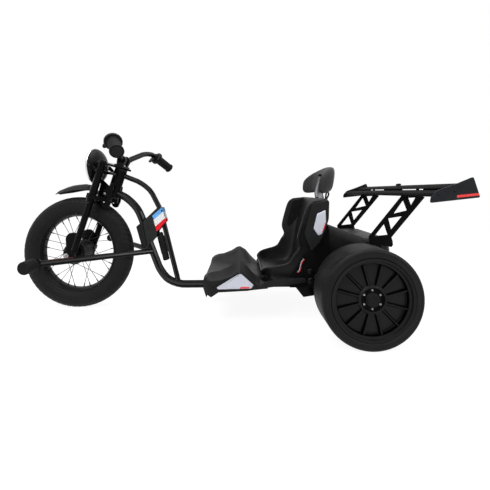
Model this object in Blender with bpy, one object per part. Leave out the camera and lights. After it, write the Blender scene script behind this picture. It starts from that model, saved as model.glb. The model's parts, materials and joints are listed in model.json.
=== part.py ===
"""Electric drift tricycle: a steered front wheel with a hub motor, a bent tube frame, a bucket seat
low between two free rear wheels, and a rear wing on two truss struts.

Units are metres. +X points to the rear, +Y to the rider's right, +Z up.
"""
import math

import bmesh
import bpy
from mathutils import Matrix, Vector
from mathutils.geometry import convex_hull_2d

# Wheels and track
WHEELBASE = 1.014
FRONT_TYRE_RADIUS = 0.2165
FRONT_TYRE_HALF_WIDTH = 0.031
FRONT_RIM_RADIUS = 0.152
FRONT_RIM_HALF_WIDTH = 0.0215
REAR_TYRE_RADIUS = 0.1463
REAR_TYRE_INNER_FACE = 0.2175
REAR_TYRE_WIDTH = 0.105
REAR_RIM_RADIUS = 0.1205

# Steering head and fork
CASTER = math.radians(18.0)
STEER_REST = math.radians(-2.0)
FORK_OFFSET = 0.0617
LEG_OFFSET = 0.0478
LEG_HALF_SPACING = 0.065
TYRE_TO_CROWN = 0.0115
CROWN_THICKNESS = 0.015
HEAD_TUBE_LENGTH = 0.1065
HEAD_TUBE_RADIUS = 0.0185
HEAD_TUBE_BORE = 0.0157
BEARING_HEIGHT = 0.006
TOP_CLAMP_THICKNESS = 0.008
STEERER_RADIUS = 0.0143
UPPER_LEG_RADIUS = 0.0132
LOWER_LEG_RADIUS = 0.0115
CLAMP_WALL = 0.006
BRIDGE_DROP = 0.029
AXLE_RADIUS = 0.006

# Hub motor and spokes
MOTOR_RADIUS = 0.040
MOTOR_HALF_WIDTH = 0.044
SPOKE_RADIUS = 0.0010
SPOKE_PAIRS = 7
SPOKE_LEAN = math.radians(30.0)

# Handlebar
BAR_RADIUS = 0.0111
BAR_RISE = 0.0265
GRIP_RADIUS = 0.0200
GRIP_LENGTH = 0.0790
HOUSING_RADIUS = 0.0285
HOUSING_LENGTH = 0.016
PADDLE_REACH = 0.032
PADDLE_WIDTH = 0.007

# Headlight
LAMP_RADIUS = 0.069
LAMP_DEPTH = 0.037
LAMP_BACK = 0.020
LAMP_FORWARD = 0.090
TRUNNION_RADIUS = 0.004

# Frame tubes and foot pegs
MAIN_TUBE_RADIUS = 0.015
UPPER_TUBE_RADIUS = 0.010
FLOOR_TUBE_HEIGHT = 0.0895
PEG_BAR_RADIUS = 0.0105
PEG_REACH = 0.254
PEG_RADIUS = 0.020
PEG_LENGTH = 0.041
PLATE_THICKNESS = 0.003
CANISTER_RADIUS = 0.014
CANISTER_LENGTH = 0.112

# Floor body
BODY_HALF_WIDTH = 0.175
POD_SPACING = 0.137
POD_RISE = 0.061
BODY_FLOOR = 0.150
BODY_WALL = 0.004
SADDLE_DROP = 0.008
SIDE_PANEL_THICKNESS = 0.002

# Seat and headrest
SEAT_HALF_WIDTH = 0.148
SEAT_WALL = 0.005
POST_LEAN = math.radians(4.5)
POST_WIDTH = 0.026
POST_THICKNESS = 0.014
POST_LENGTH = 0.176
HEADREST_HEIGHT = 0.102
HEADREST_HALF_WIDTH = 0.130
HEADREST_DEPTH = 0.042
HEADREST_BOW = 0.036

# Rear axle, cowl and wing
REAR_AXLE_RADIUS = 0.010
AXLE_HOUSING_RADIUS = 0.018
COWL_HALF_WIDTH = 0.1533
COWL_WALL = 0.003
COWL_CORNER = 0.030
SUPPORT_THICKNESS = 0.0045
STRUT_THICKNESS = 0.004
BATTERY_HALF_WIDTH = 0.090
WING_HALF_SPAN = 0.327
END_PLATE_THICKNESS = 0.004

# Fits
SEAT_GAP = 0.0003
RUN_GAP = 0.0006

ROUND = 16
FRONT_SEGMENTS = 36
REAR_SEGMENTS = 32


def clear_scene():
    """Removes every object that the scene holds."""
    for item in list(bpy.data.objects):
        bpy.data.objects.remove(item, do_unlink=True)


def finish(name, colour, roughness, metallic=0.0):
    """A plain Principled material."""
    material = bpy.data.materials.new(name)
    material.use_nodes = True
    shader = material.node_tree.nodes["Principled BSDF"]
    shader.inputs["Base Color"].default_value = (*colour, 1.0)
    shader.inputs["Roughness"].default_value = roughness
    shader.inputs["Metallic"].default_value = metallic
    material.diffuse_color = (*colour, 1.0)
    return material


class Pivot:
    """An empty on a joint's axis, with the place of that axis before the steering is turned."""

    def __init__(self, name, place, parent=None, turn=None):
        self.place = Vector(place)
        self.empty = bpy.data.objects.new(name, None)
        bpy.context.collection.objects.link(self.empty)
        if parent:
            self.empty.parent = parent.empty
            self.empty.location = self.place - parent.place
        if turn:
            self.empty.rotation_mode = "QUATERNION"
            self.empty.rotation_quaternion = turn


def solid(name, shape, material, pivot, wall=None, even=False):
    """An object from a shape drawn in the vehicle's frame. An open shape gets a wall behind its face."""
    bmesh.ops.translate(shape, verts=shape.verts, vec=-pivot.place)
    if not wall:
        bmesh.ops.recalc_face_normals(shape, faces=shape.faces)
    mesh = bpy.data.meshes.new(name)
    shape.to_mesh(mesh)
    shape.free()
    mesh.shade_smooth()
    mesh.set_sharp_from_angle(angle=math.radians(40.0))
    mesh.materials.append(material)
    item = bpy.data.objects.new(name, mesh)
    bpy.context.collection.objects.link(item)
    item.parent = pivot.empty
    if wall:
        thicken = item.modifiers.new("Wall", "SOLIDIFY")
        thicken.thickness = wall
        thicken.offset = -1.0
        thicken.use_even_offset = even
    return item


def boolean(item, tool, operation="DIFFERENCE"):
    """Cuts or joins the item with a tool, which stays in the scene as a hidden guide."""
    tool.hide_render = True
    tool.display_type = "WIRE"
    change = item.modifiers.new(operation.title(), "BOOLEAN")
    change.operation = operation
    change.object = tool
    change.solver = "EXACT"


def together(shapes):
    """Several separate shapes as one."""
    whole = bmesh.new()
    for shape in shapes:
        held = bpy.data.meshes.new("held")
        shape.to_mesh(held)
        shape.free()
        whole.from_mesh(held)
        bpy.data.meshes.remove(held)
    return whole


def turned(profile, centre, axis, segments=ROUND):
    """A profile of (radius, distance along the axis) spun round it, with a flat side lowest.

    A profile that starts on the axis ends on it too. Any other is a closed loop.
    """
    centre, axis = Vector(centre), Vector(axis).normalized()
    outward = Vector((0, 0, -1)) + axis * axis.z
    outward = Matrix.Rotation(math.pi / segments, 3, axis) @ outward.normalized()
    shape = bmesh.new()
    corners = [shape.verts.new(centre + axis * along + outward * radius) for radius, along in profile]
    edges = [shape.edges.new(pair) for pair in zip(corners, corners[1:])]
    if profile[0][0] > 0.0:
        edges.append(shape.edges.new((corners[-1], corners[0])))
    bmesh.ops.spin(shape, geom=corners + edges, cent=centre, axis=axis, angle=math.tau, steps=segments,
                   use_merge=True)
    bmesh.ops.remove_doubles(shape, verts=shape.verts, dist=1e-6)
    return shape


def bore(radius, gap=SEAT_GAP, segments=ROUND):
    """The corner radius of a many-sided bore whose flats clear a round pin by the gap."""
    return (radius + gap) / math.cos(math.pi / segments)


def tube(route, radius, resolution=4):
    """A round bar along a route of points, with closed ends."""
    path = bpy.data.curves.new("route", "CURVE")
    path.dimensions = "3D"
    path.bevel_depth = radius
    path.bevel_resolution = resolution
    path.use_fill_caps = True
    spline = path.splines.new("POLY")
    spline.points.add(len(route) - 1)
    for knot, place in zip(spline.points, route):
        knot.co = (*place, 1.0)
    guide = bpy.data.objects.new("route", path)
    drawn = bpy.data.meshes.new_from_object(guide)
    bpy.data.objects.remove(guide)
    shape = bmesh.new()
    shape.from_mesh(drawn)
    bpy.data.meshes.remove(drawn)
    bmesh.ops.remove_doubles(shape, verts=shape.verts, dist=1e-6)
    return shape


def curve(knots, steps):
    """Points on a centripetal Catmull-Rom curve through the knots, with as many steps between each pair."""
    knots = [Vector(k) for k in knots]
    line = [2 * knots[0] - knots[1], *knots, 2 * knots[-1] - knots[-2]]
    points = [knots[0]]
    for before, start, end, after in zip(line, line[1:], line[2:], line[3:]):
        a, b, c = (max((q - p).length, 1e-6) ** 0.5 for p, q in ((before, start), (start, end), (end, after)))
        leave = ((start - before) / a - (end - before) / (a + b)) * b + (end - start)
        arrive = ((after - end) / c - (after - start) / (b + c)) * b + (end - start)
        for step in range(1, steps + 1):
            t = step / steps
            points.append(start * (2 * t**3 - 3 * t**2 + 1) + leave * (t**3 - 2 * t**2 + t)
                          + end * (3 * t**2 - 2 * t**3) + arrive * (t**3 - t**2))
    return points


def bent_route(knots, least_turn=math.radians(5.0)):
    """A smooth curve through the knots, with points only where it turns."""
    fine = curve(knots, 6)
    route = [fine[0]]
    heading = fine[1] - fine[0]
    for place, following in zip(fine[1:], fine[2:]):
        if heading.angle(following - place) > least_turn:
            route.append(place)
            heading = following - place
    return route + [fine[-1]]


def slab(outline, low, high, place, holes=()):
    """A flat outline with holes, filled and extruded from one depth to another.

    place(across, up, depth) sets it in the vehicle's frame.
    """
    shape = bmesh.new()
    edges = []
    for loop in (outline, *holes):
        corners = [shape.verts.new((a, b, 0.0)) for a, b in loop]
        edges += [shape.edges.new(pair) for pair in zip(corners, corners[1:] + corners[:1])]
    if holes:
        bmesh.ops.triangle_fill(shape, use_beauty=True, edges=edges)
    else:
        shape.faces.new(corners)
    raised = bmesh.ops.extrude_face_region(shape, geom=shape.faces[:], use_keep_orig=True)
    top = {part for part in raised["geom"] if isinstance(part, bmesh.types.BMVert)}
    for corner in shape.verts:
        corner.co = place(corner.co.x, corner.co.y, high if corner in top else low)
    return shape


def circle(across, up, radius, sides=ROUND):
    """The corners of a many-sided circle in an outline's plane."""
    turns = [math.tau * (i + 0.5) / sides for i in range(sides)]
    return [(across + radius * math.cos(t), up + radius * math.sin(t)) for t in turns]


def hull(*loops):
    """The outline of a cord pulled tight round several loops of points."""
    flat = [Vector(p) for loop in loops for p in loop]
    return [tuple(flat[i]) for i in convex_hull_2d(flat)]


def grid(rows):
    """An open surface through rows of points. Its face looks along (next column) x (next row)."""
    shape = bmesh.new()
    corners = [[shape.verts.new(place) for place in row] for row in rows]
    for low, high in zip(corners, corners[1:]):
        for a, b, c, d in zip(low, low[1:], high[1:], high):
            shape.faces.new((a, b, c, d))
    return shape


def loft(sections):
    """Closed sections with as many points each, joined in turn, with flat ends."""
    shape = bmesh.new()
    rings = [[shape.verts.new(place) for place in section] for section in sections]
    for low, high in zip(rings, rings[1:]):
        for i in range(len(low)):
            j = (i + 1) % len(low)
            shape.faces.new((low[i], low[j], high[j], high[i]))
    shape.faces.new(rings[0])
    shape.faces.new(rings[-1])
    return shape


# Frames of reference
UP_HEAD = Vector((math.sin(CASTER), 0, math.cos(CASTER)))
FORWARD = Vector((-math.cos(CASTER), 0, math.sin(CASTER)))
SIDE = Vector((0, 1, 0))
FRONT_AXLE = Vector((-0.640, 0, FRONT_TYRE_RADIUS * math.cos(math.pi / FRONT_SEGMENTS)))
REAR_AXLE = Vector((FRONT_AXLE.x + WHEELBASE, 0, REAR_TYRE_RADIUS * math.cos(math.pi / REAR_SEGMENTS)))
CROWN_RISE = FRONT_TYRE_RADIUS + TYRE_TO_CROWN
AXLE_UP = -CROWN_RISE
HEAD_FOOT = CROWN_THICKNESS + BEARING_HEIGHT + 2 * SEAT_GAP
HEAD_TOP = HEAD_FOOT + HEAD_TUBE_LENGTH
TOP_CLAMP = HEAD_TOP + BEARING_HEIGHT + 2 * SEAT_GAP
CLAMP_TOP = TOP_CLAMP + TOP_CLAMP_THICKNESS
BAR_UP = CLAMP_TOP + BAR_RISE
BAR_FORWARD = 0.005
BRIDGE_UP = TOP_CLAMP - BRIDGE_DROP
LAMP_UP = BRIDGE_UP + 0.0113
GRIP_INNER = Vector((-0.0465, 0.214, BAR_UP + 0.0498))
GRIP_LINE = Vector((-0.622, 0.718, -0.314)).normalized()
REAR_HALF = REAR_TYRE_WIDTH / 2
REAR_MIDDLE = REAR_TYRE_INNER_FACE + REAR_HALF
HUB_RECESS = REAR_HALF - 0.016


def head(forward, side, up):
    """A point from its place in the steering head: square to the axis, sideways and up the axis.

    The origin is on the steering axis, at the under side of the fork crown.
    """
    origin = FRONT_AXLE - FORWARD * FORK_OFFSET + UP_HEAD * CROWN_RISE
    return origin + FORWARD * forward + SIDE * side + UP_HEAD * up


def front(back, side, height):
    """A point from its distance behind the front axle, its side and its height above the axle."""
    return FRONT_AXLE + Vector((back, side, height))


def rear(back, side, height):
    """A point from its distance behind the rear axle, its side and its height above the floor."""
    return Vector((REAR_AXLE.x + back, side, height))


def in_head(across, up, depth):
    """An outline in the steering head's middle plane, with depth sideways."""
    return head(across, depth, up)


def on_head(across, side, depth):
    """An outline square to the steering axis, with depth up the axis."""
    return head(across, side, depth)


def by_front(across, up, depth):
    """An outline in the middle plane, measured from the front axle, with depth sideways."""
    return front(across, depth, up)


def by_rear(across, up, depth):
    """An outline in the middle plane, behind the rear axle and above the floor, with depth sideways."""
    return rear(across, depth, up)


def both_sides(build):
    """Runs a builder for the left side, then for the right."""
    build(-1, "left")
    build(1, "right")


def grip_point(side, along):
    """A point on the middle line of one grip, from its inner end."""
    spot = GRIP_INNER + GRIP_LINE * along
    return head(spot.x, side * spot.y, spot.z)


def grip_axis(side):
    """The direction of one grip towards its end."""
    return (grip_point(side, 1.0) - grip_point(side, 0.0)).normalized()


def bar_half(side):
    """The knots of one half of the handlebar, from its middle to its end."""
    knots = [head(BAR_FORWARD, side * y, BAR_UP) for y in (0.0, 0.026, 0.031)]
    for forward, y, lift in ((0.003, 0.046, 0.010), (-0.001, 0.074, 0.024), (-0.004, 0.101, 0.038),
                             (-0.008, 0.129, 0.049), (-0.014, 0.156, 0.057)):
        knots.append(head(forward, side * y, BAR_UP + lift))
    return knots + [grip_point(side, along) for along in (-0.034, -0.025, -0.012, 0.0, GRIP_LENGTH - 0.009)]


def main_route():
    """The middle line of the main tube, from the steering head to the rear axle."""
    knots = [head(0, 0, 0.040), head(-0.030, 0, 0.036), head(-0.058, 0, 0.029), head(-0.103, 0, 0.005),
             head(-0.140, 0, -0.034), head(-0.166, 0, -0.075), head(-0.228, 0, -0.151)]
    height = FLOOR_TUBE_HEIGHT
    knots += [Vector((FRONT_AXLE.x + back, 0, height + rise))
              for back, rise in ((0.3192, 0.060), (0.3509, 0.020), (0.3984, 0.0), (0.470, 0.0))]
    knots += [rear(-0.220, 0, height), rear(-0.150, 0, height + 0.002), rear(-0.080, 0, height + 0.020),
              rear(0, 0, REAR_AXLE.z)]
    return bent_route(knots)


def upper_ends():
    """The ends of the straight part of the upper tube: its bend and its foot on the main tube."""
    return head(-0.197, 0, 0.022), Vector((FRONT_AXLE.x + 0.3945, 0, FLOOR_TUBE_HEIGHT))


def upper_route():
    """The middle line of the upper tube, from the steering head down to the main tube."""
    bend, foot = upper_ends()
    knots = [head(0, 0, 0.112), head(-0.024, 0, 0.111), head(-0.082, 0, 0.106), head(-0.130, 0, 0.088),
             head(-0.171, 0, 0.051), bend, bend.lerp(foot, 0.2), bend.lerp(foot, 0.6), foot]
    return bent_route(knots)


def steering_head(black, steel, steering, body):
    """The head tube, its headset, the steerer and the plate that clamps the fork legs at the top."""
    origin = head(0, 0, 0)
    lip = HEAD_TUBE_RADIUS + 0.0015
    profile = [(HEAD_TUBE_BORE, HEAD_FOOT), (lip, HEAD_FOOT), (lip, HEAD_FOOT + 0.008),
               (HEAD_TUBE_RADIUS, HEAD_FOOT + 0.010), (HEAD_TUBE_RADIUS, HEAD_TOP - 0.010),
               (lip, HEAD_TOP - 0.008), (lip, HEAD_TOP), (HEAD_TUBE_BORE, HEAD_TOP)]
    solid("head_tube", turned(profile, origin, UP_HEAD), black, body)
    inner, sleeve = bore(STEERER_RADIUS), HEAD_TUBE_BORE - SEAT_GAP
    low, high = CROWN_THICKNESS + SEAT_GAP, HEAD_TOP + SEAT_GAP
    profile = [(inner, low), (lip, low), (lip, low + BEARING_HEIGHT), (sleeve, low + BEARING_HEIGHT),
               (sleeve, high), (lip, high), (lip, high + BEARING_HEIGHT), (inner, high + BEARING_HEIGHT)]
    solid("headset", turned(profile, origin, UP_HEAD), steel, body)
    shaft = [(0.0, 0.001), (STEERER_RADIUS, 0.001), (STEERER_RADIUS, CLAMP_TOP), (0.0, CLAMP_TOP)]
    solid("steerer", turned(shaft, origin, UP_HEAD), steel, steering)
    back = [circle(0, 0, STEERER_RADIUS + CLAMP_WALL + 0.002), circle(-0.026, 0, 0.008, 12)]
    plate = slab(fork_outline(CLAMP_WALL, back), TOP_CLAMP, CLAMP_TOP, on_head, fork_holes(True))
    solid("top_clamp", plate, black, steering)


def fork_outline(wall, back=()):
    """The outline of a plate that holds both fork legs."""
    reach = UPPER_LEG_RADIUS + wall
    return hull(*[circle(LEG_OFFSET, side * LEG_HALF_SPACING, reach) for side in (-1, 1)], *back)


def fork_holes(steerer=False):
    """The bores for both fork legs, and for the steerer."""
    holes = [circle(LEG_OFFSET, side * LEG_HALF_SPACING, bore(UPPER_LEG_RADIUS)) for side in (-1, 1)]
    return holes + [circle(0, 0, bore(STEERER_RADIUS))] if steerer else holes


def fork_crown(black, steering):
    """The lower fork plate, with a drilled gusset on each side of the tyre and the head tube."""
    back = [circle(0, 0, STEERER_RADIUS + CLAMP_WALL + 0.002)]
    plate = slab(fork_outline(CLAMP_WALL, back), 0.0, CROWN_THICKNESS, on_head, fork_holes(True))
    crown = solid("fork_crown", plate, black, steering)
    cheek = [(-0.016, 0.003), (-0.013, -0.020), (-0.004, -0.026), (0.008, -0.024), (0.020, -0.012),
             (0.040, 0.003), (0.047, 0.078), (0.014, 0.062), (-0.006, 0.064)]
    holes = [circle(0.011, -0.0075, 0.005, 12), circle(0.018, 0.026, 0.0055, 12)]
    inner = FRONT_TYRE_HALF_WIDTH + 0.005
    for side in (-1, 1):
        shape = slab(cheek, side * inner, side * (inner + 0.004), in_head, holes)
        boolean(crown, solid("cheek_tool", shape, black, steering), "UNION")


def fork_legs(black, steering):
    """Two stepped legs, each with a seal ring, a foot for the axle and a keyhole shaped guard."""
    step, foot_top = -0.006, AXLE_UP + 0.021
    top = CLAMP_TOP + 0.007
    ring = UPPER_LEG_RADIUS + 0.002
    profile = [(0.0, top), (UPPER_LEG_RADIUS - 0.004, top), (UPPER_LEG_RADIUS, top - 0.004),
               (UPPER_LEG_RADIUS, step), (ring, step - 0.001), (ring, step - 0.008),
               (LOWER_LEG_RADIUS, step - 0.012), (LOWER_LEG_RADIUS, foot_top - 0.010), (0.0, foot_top - 0.010)]
    block = hull(circle(FORK_OFFSET, AXLE_UP, 0.0155),
                 [(LEG_OFFSET - LOWER_LEG_RADIUS, foot_top), (LEG_OFFSET + LOWER_LEG_RADIUS, foot_top),
                  (LEG_OFFSET - LOWER_LEG_RADIUS, AXLE_UP + 0.004)])
    guard = hull(circle(FORK_OFFSET, AXLE_UP, 0.016), circle(FORK_OFFSET + 0.0125, AXLE_UP + 0.055, 0.026))
    inner, outer = foot_depths()

    def one(side, word):
        shape = turned(profile, head(LEG_OFFSET, side * LEG_HALF_SPACING, 0), UP_HEAD)
        leg = solid("fork_leg_" + word, shape, black, steering)
        foot = slab(block, side * inner, side * outer, in_head)
        boolean(leg, solid("foot_tool", foot, black, steering), "UNION")
        plate = slab(guard, side * (MOTOR_HALF_WIDTH + 0.002), side * (inner + 0.001), in_head)
        boolean(leg, solid("guard_tool", plate, black, steering), "UNION")
        hole = [(0.0, -outer - 0.01), (bore(AXLE_RADIUS), -outer - 0.01), (bore(AXLE_RADIUS), outer + 0.01),
                (0.0, outer + 0.01)]
        boolean(leg, solid("axle_tool", turned(hole, FRONT_AXLE, SIDE), black, steering))

    both_sides(one)


def foot_depths():
    """How far out the inner and the outer face of a fork foot lie."""
    return LEG_HALF_SPACING - LOWER_LEG_RADIUS + 0.0005, LEG_HALF_SPACING + LOWER_LEG_RADIUS - 0.0005


def front_axle(steel, steering):
    """The fixed front axle with a nut at each end."""
    outer = foot_depths()[1]
    half = outer + 0.011
    shaft = [(0.0, -half), (AXLE_RADIUS, -half), (AXLE_RADIUS, half), (0.0, half)]
    axle = solid("front_axle", turned(shaft, FRONT_AXLE, SIDE), steel, steering)
    for side in (-1, 1):
        start = side * (outer + SEAT_GAP)
        nut = slab(circle(FORK_OFFSET, AXLE_UP, 0.0105, 6), start, start + side * 0.008, in_head)
        boolean(axle, solid("nut_tool", nut, steel, steering), "UNION")


def front_fender(plastic, steering):
    """A bowed blade over the front tyre, standing on the fork crown between the legs."""
    base = CROWN_THICKNESS + SEAT_GAP
    rows = []
    for forward, rise, half, drop in (
            (0.030, 0.003, 0.011, 0.0), (0.046, 0.003, 0.011, 0.0), (0.064, 0.0045, 0.014, 0.001),
            (0.082, 0.0155, 0.026, 0.011), (0.101, 0.0215, 0.033, 0.020), (0.120, 0.0190, 0.0345, 0.024),
            (0.139, 0.0110, 0.035, 0.024), (0.160, 0.0010, 0.0345, 0.025), (0.180, -0.0120, 0.033, 0.023),
            (0.208, -0.0350, 0.024, 0.014), (0.2195, -0.052, 0.012, 0.004)):
        shares = [i / 4 for i in range(-4, 5)]
        rows.append([head(forward, half * s, base + rise - drop * abs(s) ** 2.5) for s in shares])
    solid("front_fender", grid(rows), plastic, steering, wall=0.003)


def handlebar(black, rubber, grey, steering):
    """The bent bar, the clamp that holds it, the grips and the two round housings."""
    route = bent_route(bar_half(-1)[::-1] + bar_half(1)[1:], math.radians(6.0))
    solid("handlebar", tube(route, BAR_RADIUS, 3), black, steering)
    foot = CLAMP_TOP + SEAT_GAP
    plate = [(-0.0135, -0.029), (0.0235, -0.029), (0.0235, 0.029), (-0.0135, 0.029)]
    clamp = solid("bar_clamp", slab(plate, foot, foot + 0.005, on_head), grey, steering)
    block = hull(circle(BAR_FORWARD, BAR_UP, BAR_RADIUS + 0.006, 16),
                 [(BAR_FORWARD - 0.0125, foot + 0.002), (BAR_FORWARD + 0.0125, foot + 0.002)])
    hole = [circle(BAR_FORWARD, BAR_UP, bore(BAR_RADIUS, 0.0004, 16), 16)]
    for side in (-1, 1):
        riser = slab(block, side * 0.0125, side * 0.0240, in_head, hole)
        boolean(clamp, solid("riser_tool", riser, grey, steering), "UNION")
    hollow = bore(BAR_RADIUS, 0.0004)
    profile = [(0.0, GRIP_LENGTH - 0.006), (hollow, GRIP_LENGTH - 0.006), (hollow, 0.0),
               (GRIP_RADIUS + 0.003, 0.0), (GRIP_RADIUS + 0.003, 0.005)]
    for i in range(3):
        along = 0.008 + i * (GRIP_LENGTH - 0.018) / 3
        profile += [(GRIP_RADIUS - 0.0016, along), (GRIP_RADIUS, along + 0.004)]
    profile += [(GRIP_RADIUS, GRIP_LENGTH - 0.004), (GRIP_RADIUS - 0.003, GRIP_LENGTH), (0.0, GRIP_LENGTH)]
    ring = [(hollow, -HOUSING_LENGTH), (HOUSING_RADIUS - 0.007, -HOUSING_LENGTH),
            (HOUSING_RADIUS, 0.005 - HOUSING_LENGTH), (HOUSING_RADIUS, -0.003), (HOUSING_RADIUS - 0.002, -SEAT_GAP),
            (hollow, -SEAT_GAP)]

    def one(side, word):
        start, line = grip_point(side, 0.0), grip_axis(side)
        solid("grip_" + word, turned(profile, start, line), rubber, steering)
        name = "brake_housing" if side < 0 else "throttle_housing"
        solid(name, turned(ring, start, line), grey, steering)

    both_sides(one)


def paddle(name, side, plastic, pivot):
    """A thumb paddle that swings round the bar beside its housing."""
    line = grip_axis(side)
    reach = Vector((-0.86, 0, -0.51))
    reach = (reach - line * reach.dot(line)).normalized()
    across = line.cross(reach)

    def place(a, b, depth):
        return pivot.place + reach * a + across * b - line * depth

    outline = hull(circle(0, 0, BAR_RADIUS + 0.005), circle(PADDLE_REACH, 0, 0.006, 12))
    shape = slab(outline, 0.0, PADDLE_WIDTH, place, [circle(0, 0, bore(BAR_RADIUS, RUN_GAP))])
    solid(name, shape, plastic, pivot)


def headlight(black, clear, steering, lamp):
    """The lamp's bowl and lens, which tilt in a bracket between the fork legs."""
    plate = slab(fork_outline(0.0045), BRIDGE_UP - 0.005, BRIDGE_UP + 0.005, on_head, fork_holes())
    bracket = solid("lamp_bracket", plate, black, steering)
    notch = [(0.040, -0.044), (0.080, -0.044), (0.080, 0.044), (0.040, 0.044)]
    notch = slab(notch, BRIDGE_UP - 0.02, BRIDGE_UP + 0.02, on_head)
    boolean(bracket, solid("notch_tool", notch, black, steering))
    edge = LEG_OFFSET + UPPER_LEG_RADIUS + 0.001
    ear = hull([(edge, BRIDGE_UP - 0.0045), (edge, BRIDGE_UP + 0.0045)], circle(LAMP_FORWARD, LAMP_UP, 0.009, 16))
    outside = LAMP_RADIUS + 0.0025
    hole = [circle(LAMP_FORWARD, LAMP_UP, bore(TRUNNION_RADIUS, SEAT_GAP, 12), 12)]
    case = bowl(black, lamp)
    for side in (-1, 1):
        shape = slab(ear, side * outside, side * (outside + 0.003), in_head, hole)
        boolean(bracket, solid("ear_tool", shape, black, steering), "UNION")
        start, end = 0.93 * LAMP_RADIUS, outside + 0.005
        pin = [(0.0, start), (TRUNNION_RADIUS, start), (TRUNNION_RADIUS, end), (0.0, end)]
        boolean(case, solid("trunnion_tool", turned(pin, lamp.place, SIDE * side, 12), black, lamp), "UNION")
    seat, rim = LAMP_RADIUS - 0.0040, LAMP_DEPTH - LAMP_BACK
    lens = [(0.0, rim - 0.006), (seat, rim - 0.006), (seat, rim - 0.001), (0.8 * seat, rim + 0.003),
            (0.4 * seat, rim + 0.0055), (0.0, rim + 0.006)]
    solid("headlight_lens", turned(lens, lamp.place, Vector((-1, 0, 0)), 28), clear, lamp)


def bowl(black, lamp):
    """The lamp's round housing, open at the front."""
    wall, back = 0.0035, -LAMP_BACK
    outer = [(0.0, back), (0.30 * LAMP_RADIUS, back + 0.001), (0.55 * LAMP_RADIUS, back + 0.004),
             (0.76 * LAMP_RADIUS, back + 0.009), (0.91 * LAMP_RADIUS, back + 0.016),
             (LAMP_RADIUS, back + 0.026), (LAMP_RADIUS, back + LAMP_DEPTH)]
    inner = [(max(radius - wall, 0.0), along + wall) for radius, along in outer[:-1]]
    profile = outer + [(LAMP_RADIUS - wall, back + LAMP_DEPTH)] + inner[::-1]
    return solid("headlight_shell", turned(profile, lamp.place, Vector((-1, 0, 0)), 28), black, lamp)


def front_wheel(rubber, black, steel, grey, wheel):
    """Tyre, rim, crossed spokes and the hub motor."""
    half, seat = FRONT_TYRE_HALF_WIDTH, FRONT_RIM_RADIUS + 0.0004
    deep = FRONT_TYRE_RADIUS - seat
    side = [(seat + deep * rise, half * wide) for rise, wide in
            ((0.0, 0.66), (0.14, 0.86), (0.45, 1.0), (0.74, 0.90), (0.92, 0.60), (1.0, 0.16))]
    loop = side + [(radius, -along) for radius, along in reversed(side)]
    solid("front_tyre", turned(loop, FRONT_AXLE, SIDE, FRONT_SEGMENTS), rubber, wheel)
    edge, lip = FRONT_RIM_RADIUS, FRONT_RIM_HALF_WIDTH
    well = [(edge - 0.004, lip), (edge, lip), (edge, lip - 0.0025), (edge - 0.007, lip - 0.007)]
    base = [(edge - 0.0115, -0.010), (edge - 0.0115, 0.010)]
    loop = well + [(radius, -along) for radius, along in reversed(well)] + base
    solid("front_rim", turned(loop, FRONT_AXLE, SIDE, FRONT_SEGMENTS), black, wheel)
    flange, boss = MOTOR_RADIUS + 0.003, MOTOR_HALF_WIDTH
    hub = [(bore(AXLE_RADIUS, RUN_GAP), boss), (0.014, boss), (0.017, boss - 0.005),
           (MOTOR_RADIUS - 0.003, boss - 0.007), (flange, boss - 0.008), (flange, boss - 0.0125),
           (MOTOR_RADIUS, boss - 0.014)]
    loop = hub + [(radius, -along) for radius, along in reversed(hub)]
    solid("hub_motor", turned(loop, FRONT_AXLE, SIDE), grey, wheel)
    inside = FRONT_RIM_RADIUS - 0.0122
    band = [(inside, 0.006), (inside, -0.006), (inside - 0.0014, -0.006), (inside - 0.0014, 0.006)]
    lacing = solid("front_spokes", turned(band, FRONT_AXLE, SIDE, FRONT_SEGMENTS), steel, wheel)
    bars = together(spokes(flange + 0.0013, boss - 0.0103, inside - 0.0009))
    boolean(lacing, solid("spoke_tool", bars, steel, wheel), "UNION")


def spokes(inner, offset, outer):
    """Crossed spokes: on each side of the hub half of them lean forwards and half backwards."""
    bars = []
    for side in (-1, 1):
        for pair in range(SPOKE_PAIRS):
            for lean in (-1, 1):
                rim_turn = math.tau * (pair + 0.125 * side + 0.25 * lean) / SPOKE_PAIRS
                hub_turn = rim_turn - lean * SPOKE_LEAN
                start = round_axle(inner, hub_turn, side * (offset + lean * 0.0017))
                end = round_axle(outer, rim_turn, side * (0.003 + lean * 0.0012))
                bars.append(tube([start, end], SPOKE_RADIUS, 0))
    return bars


def round_axle(radius, turn, side):
    """A point at a radius round the front axle."""
    return front(radius * math.sin(turn), side, radius * math.cos(turn))


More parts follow.
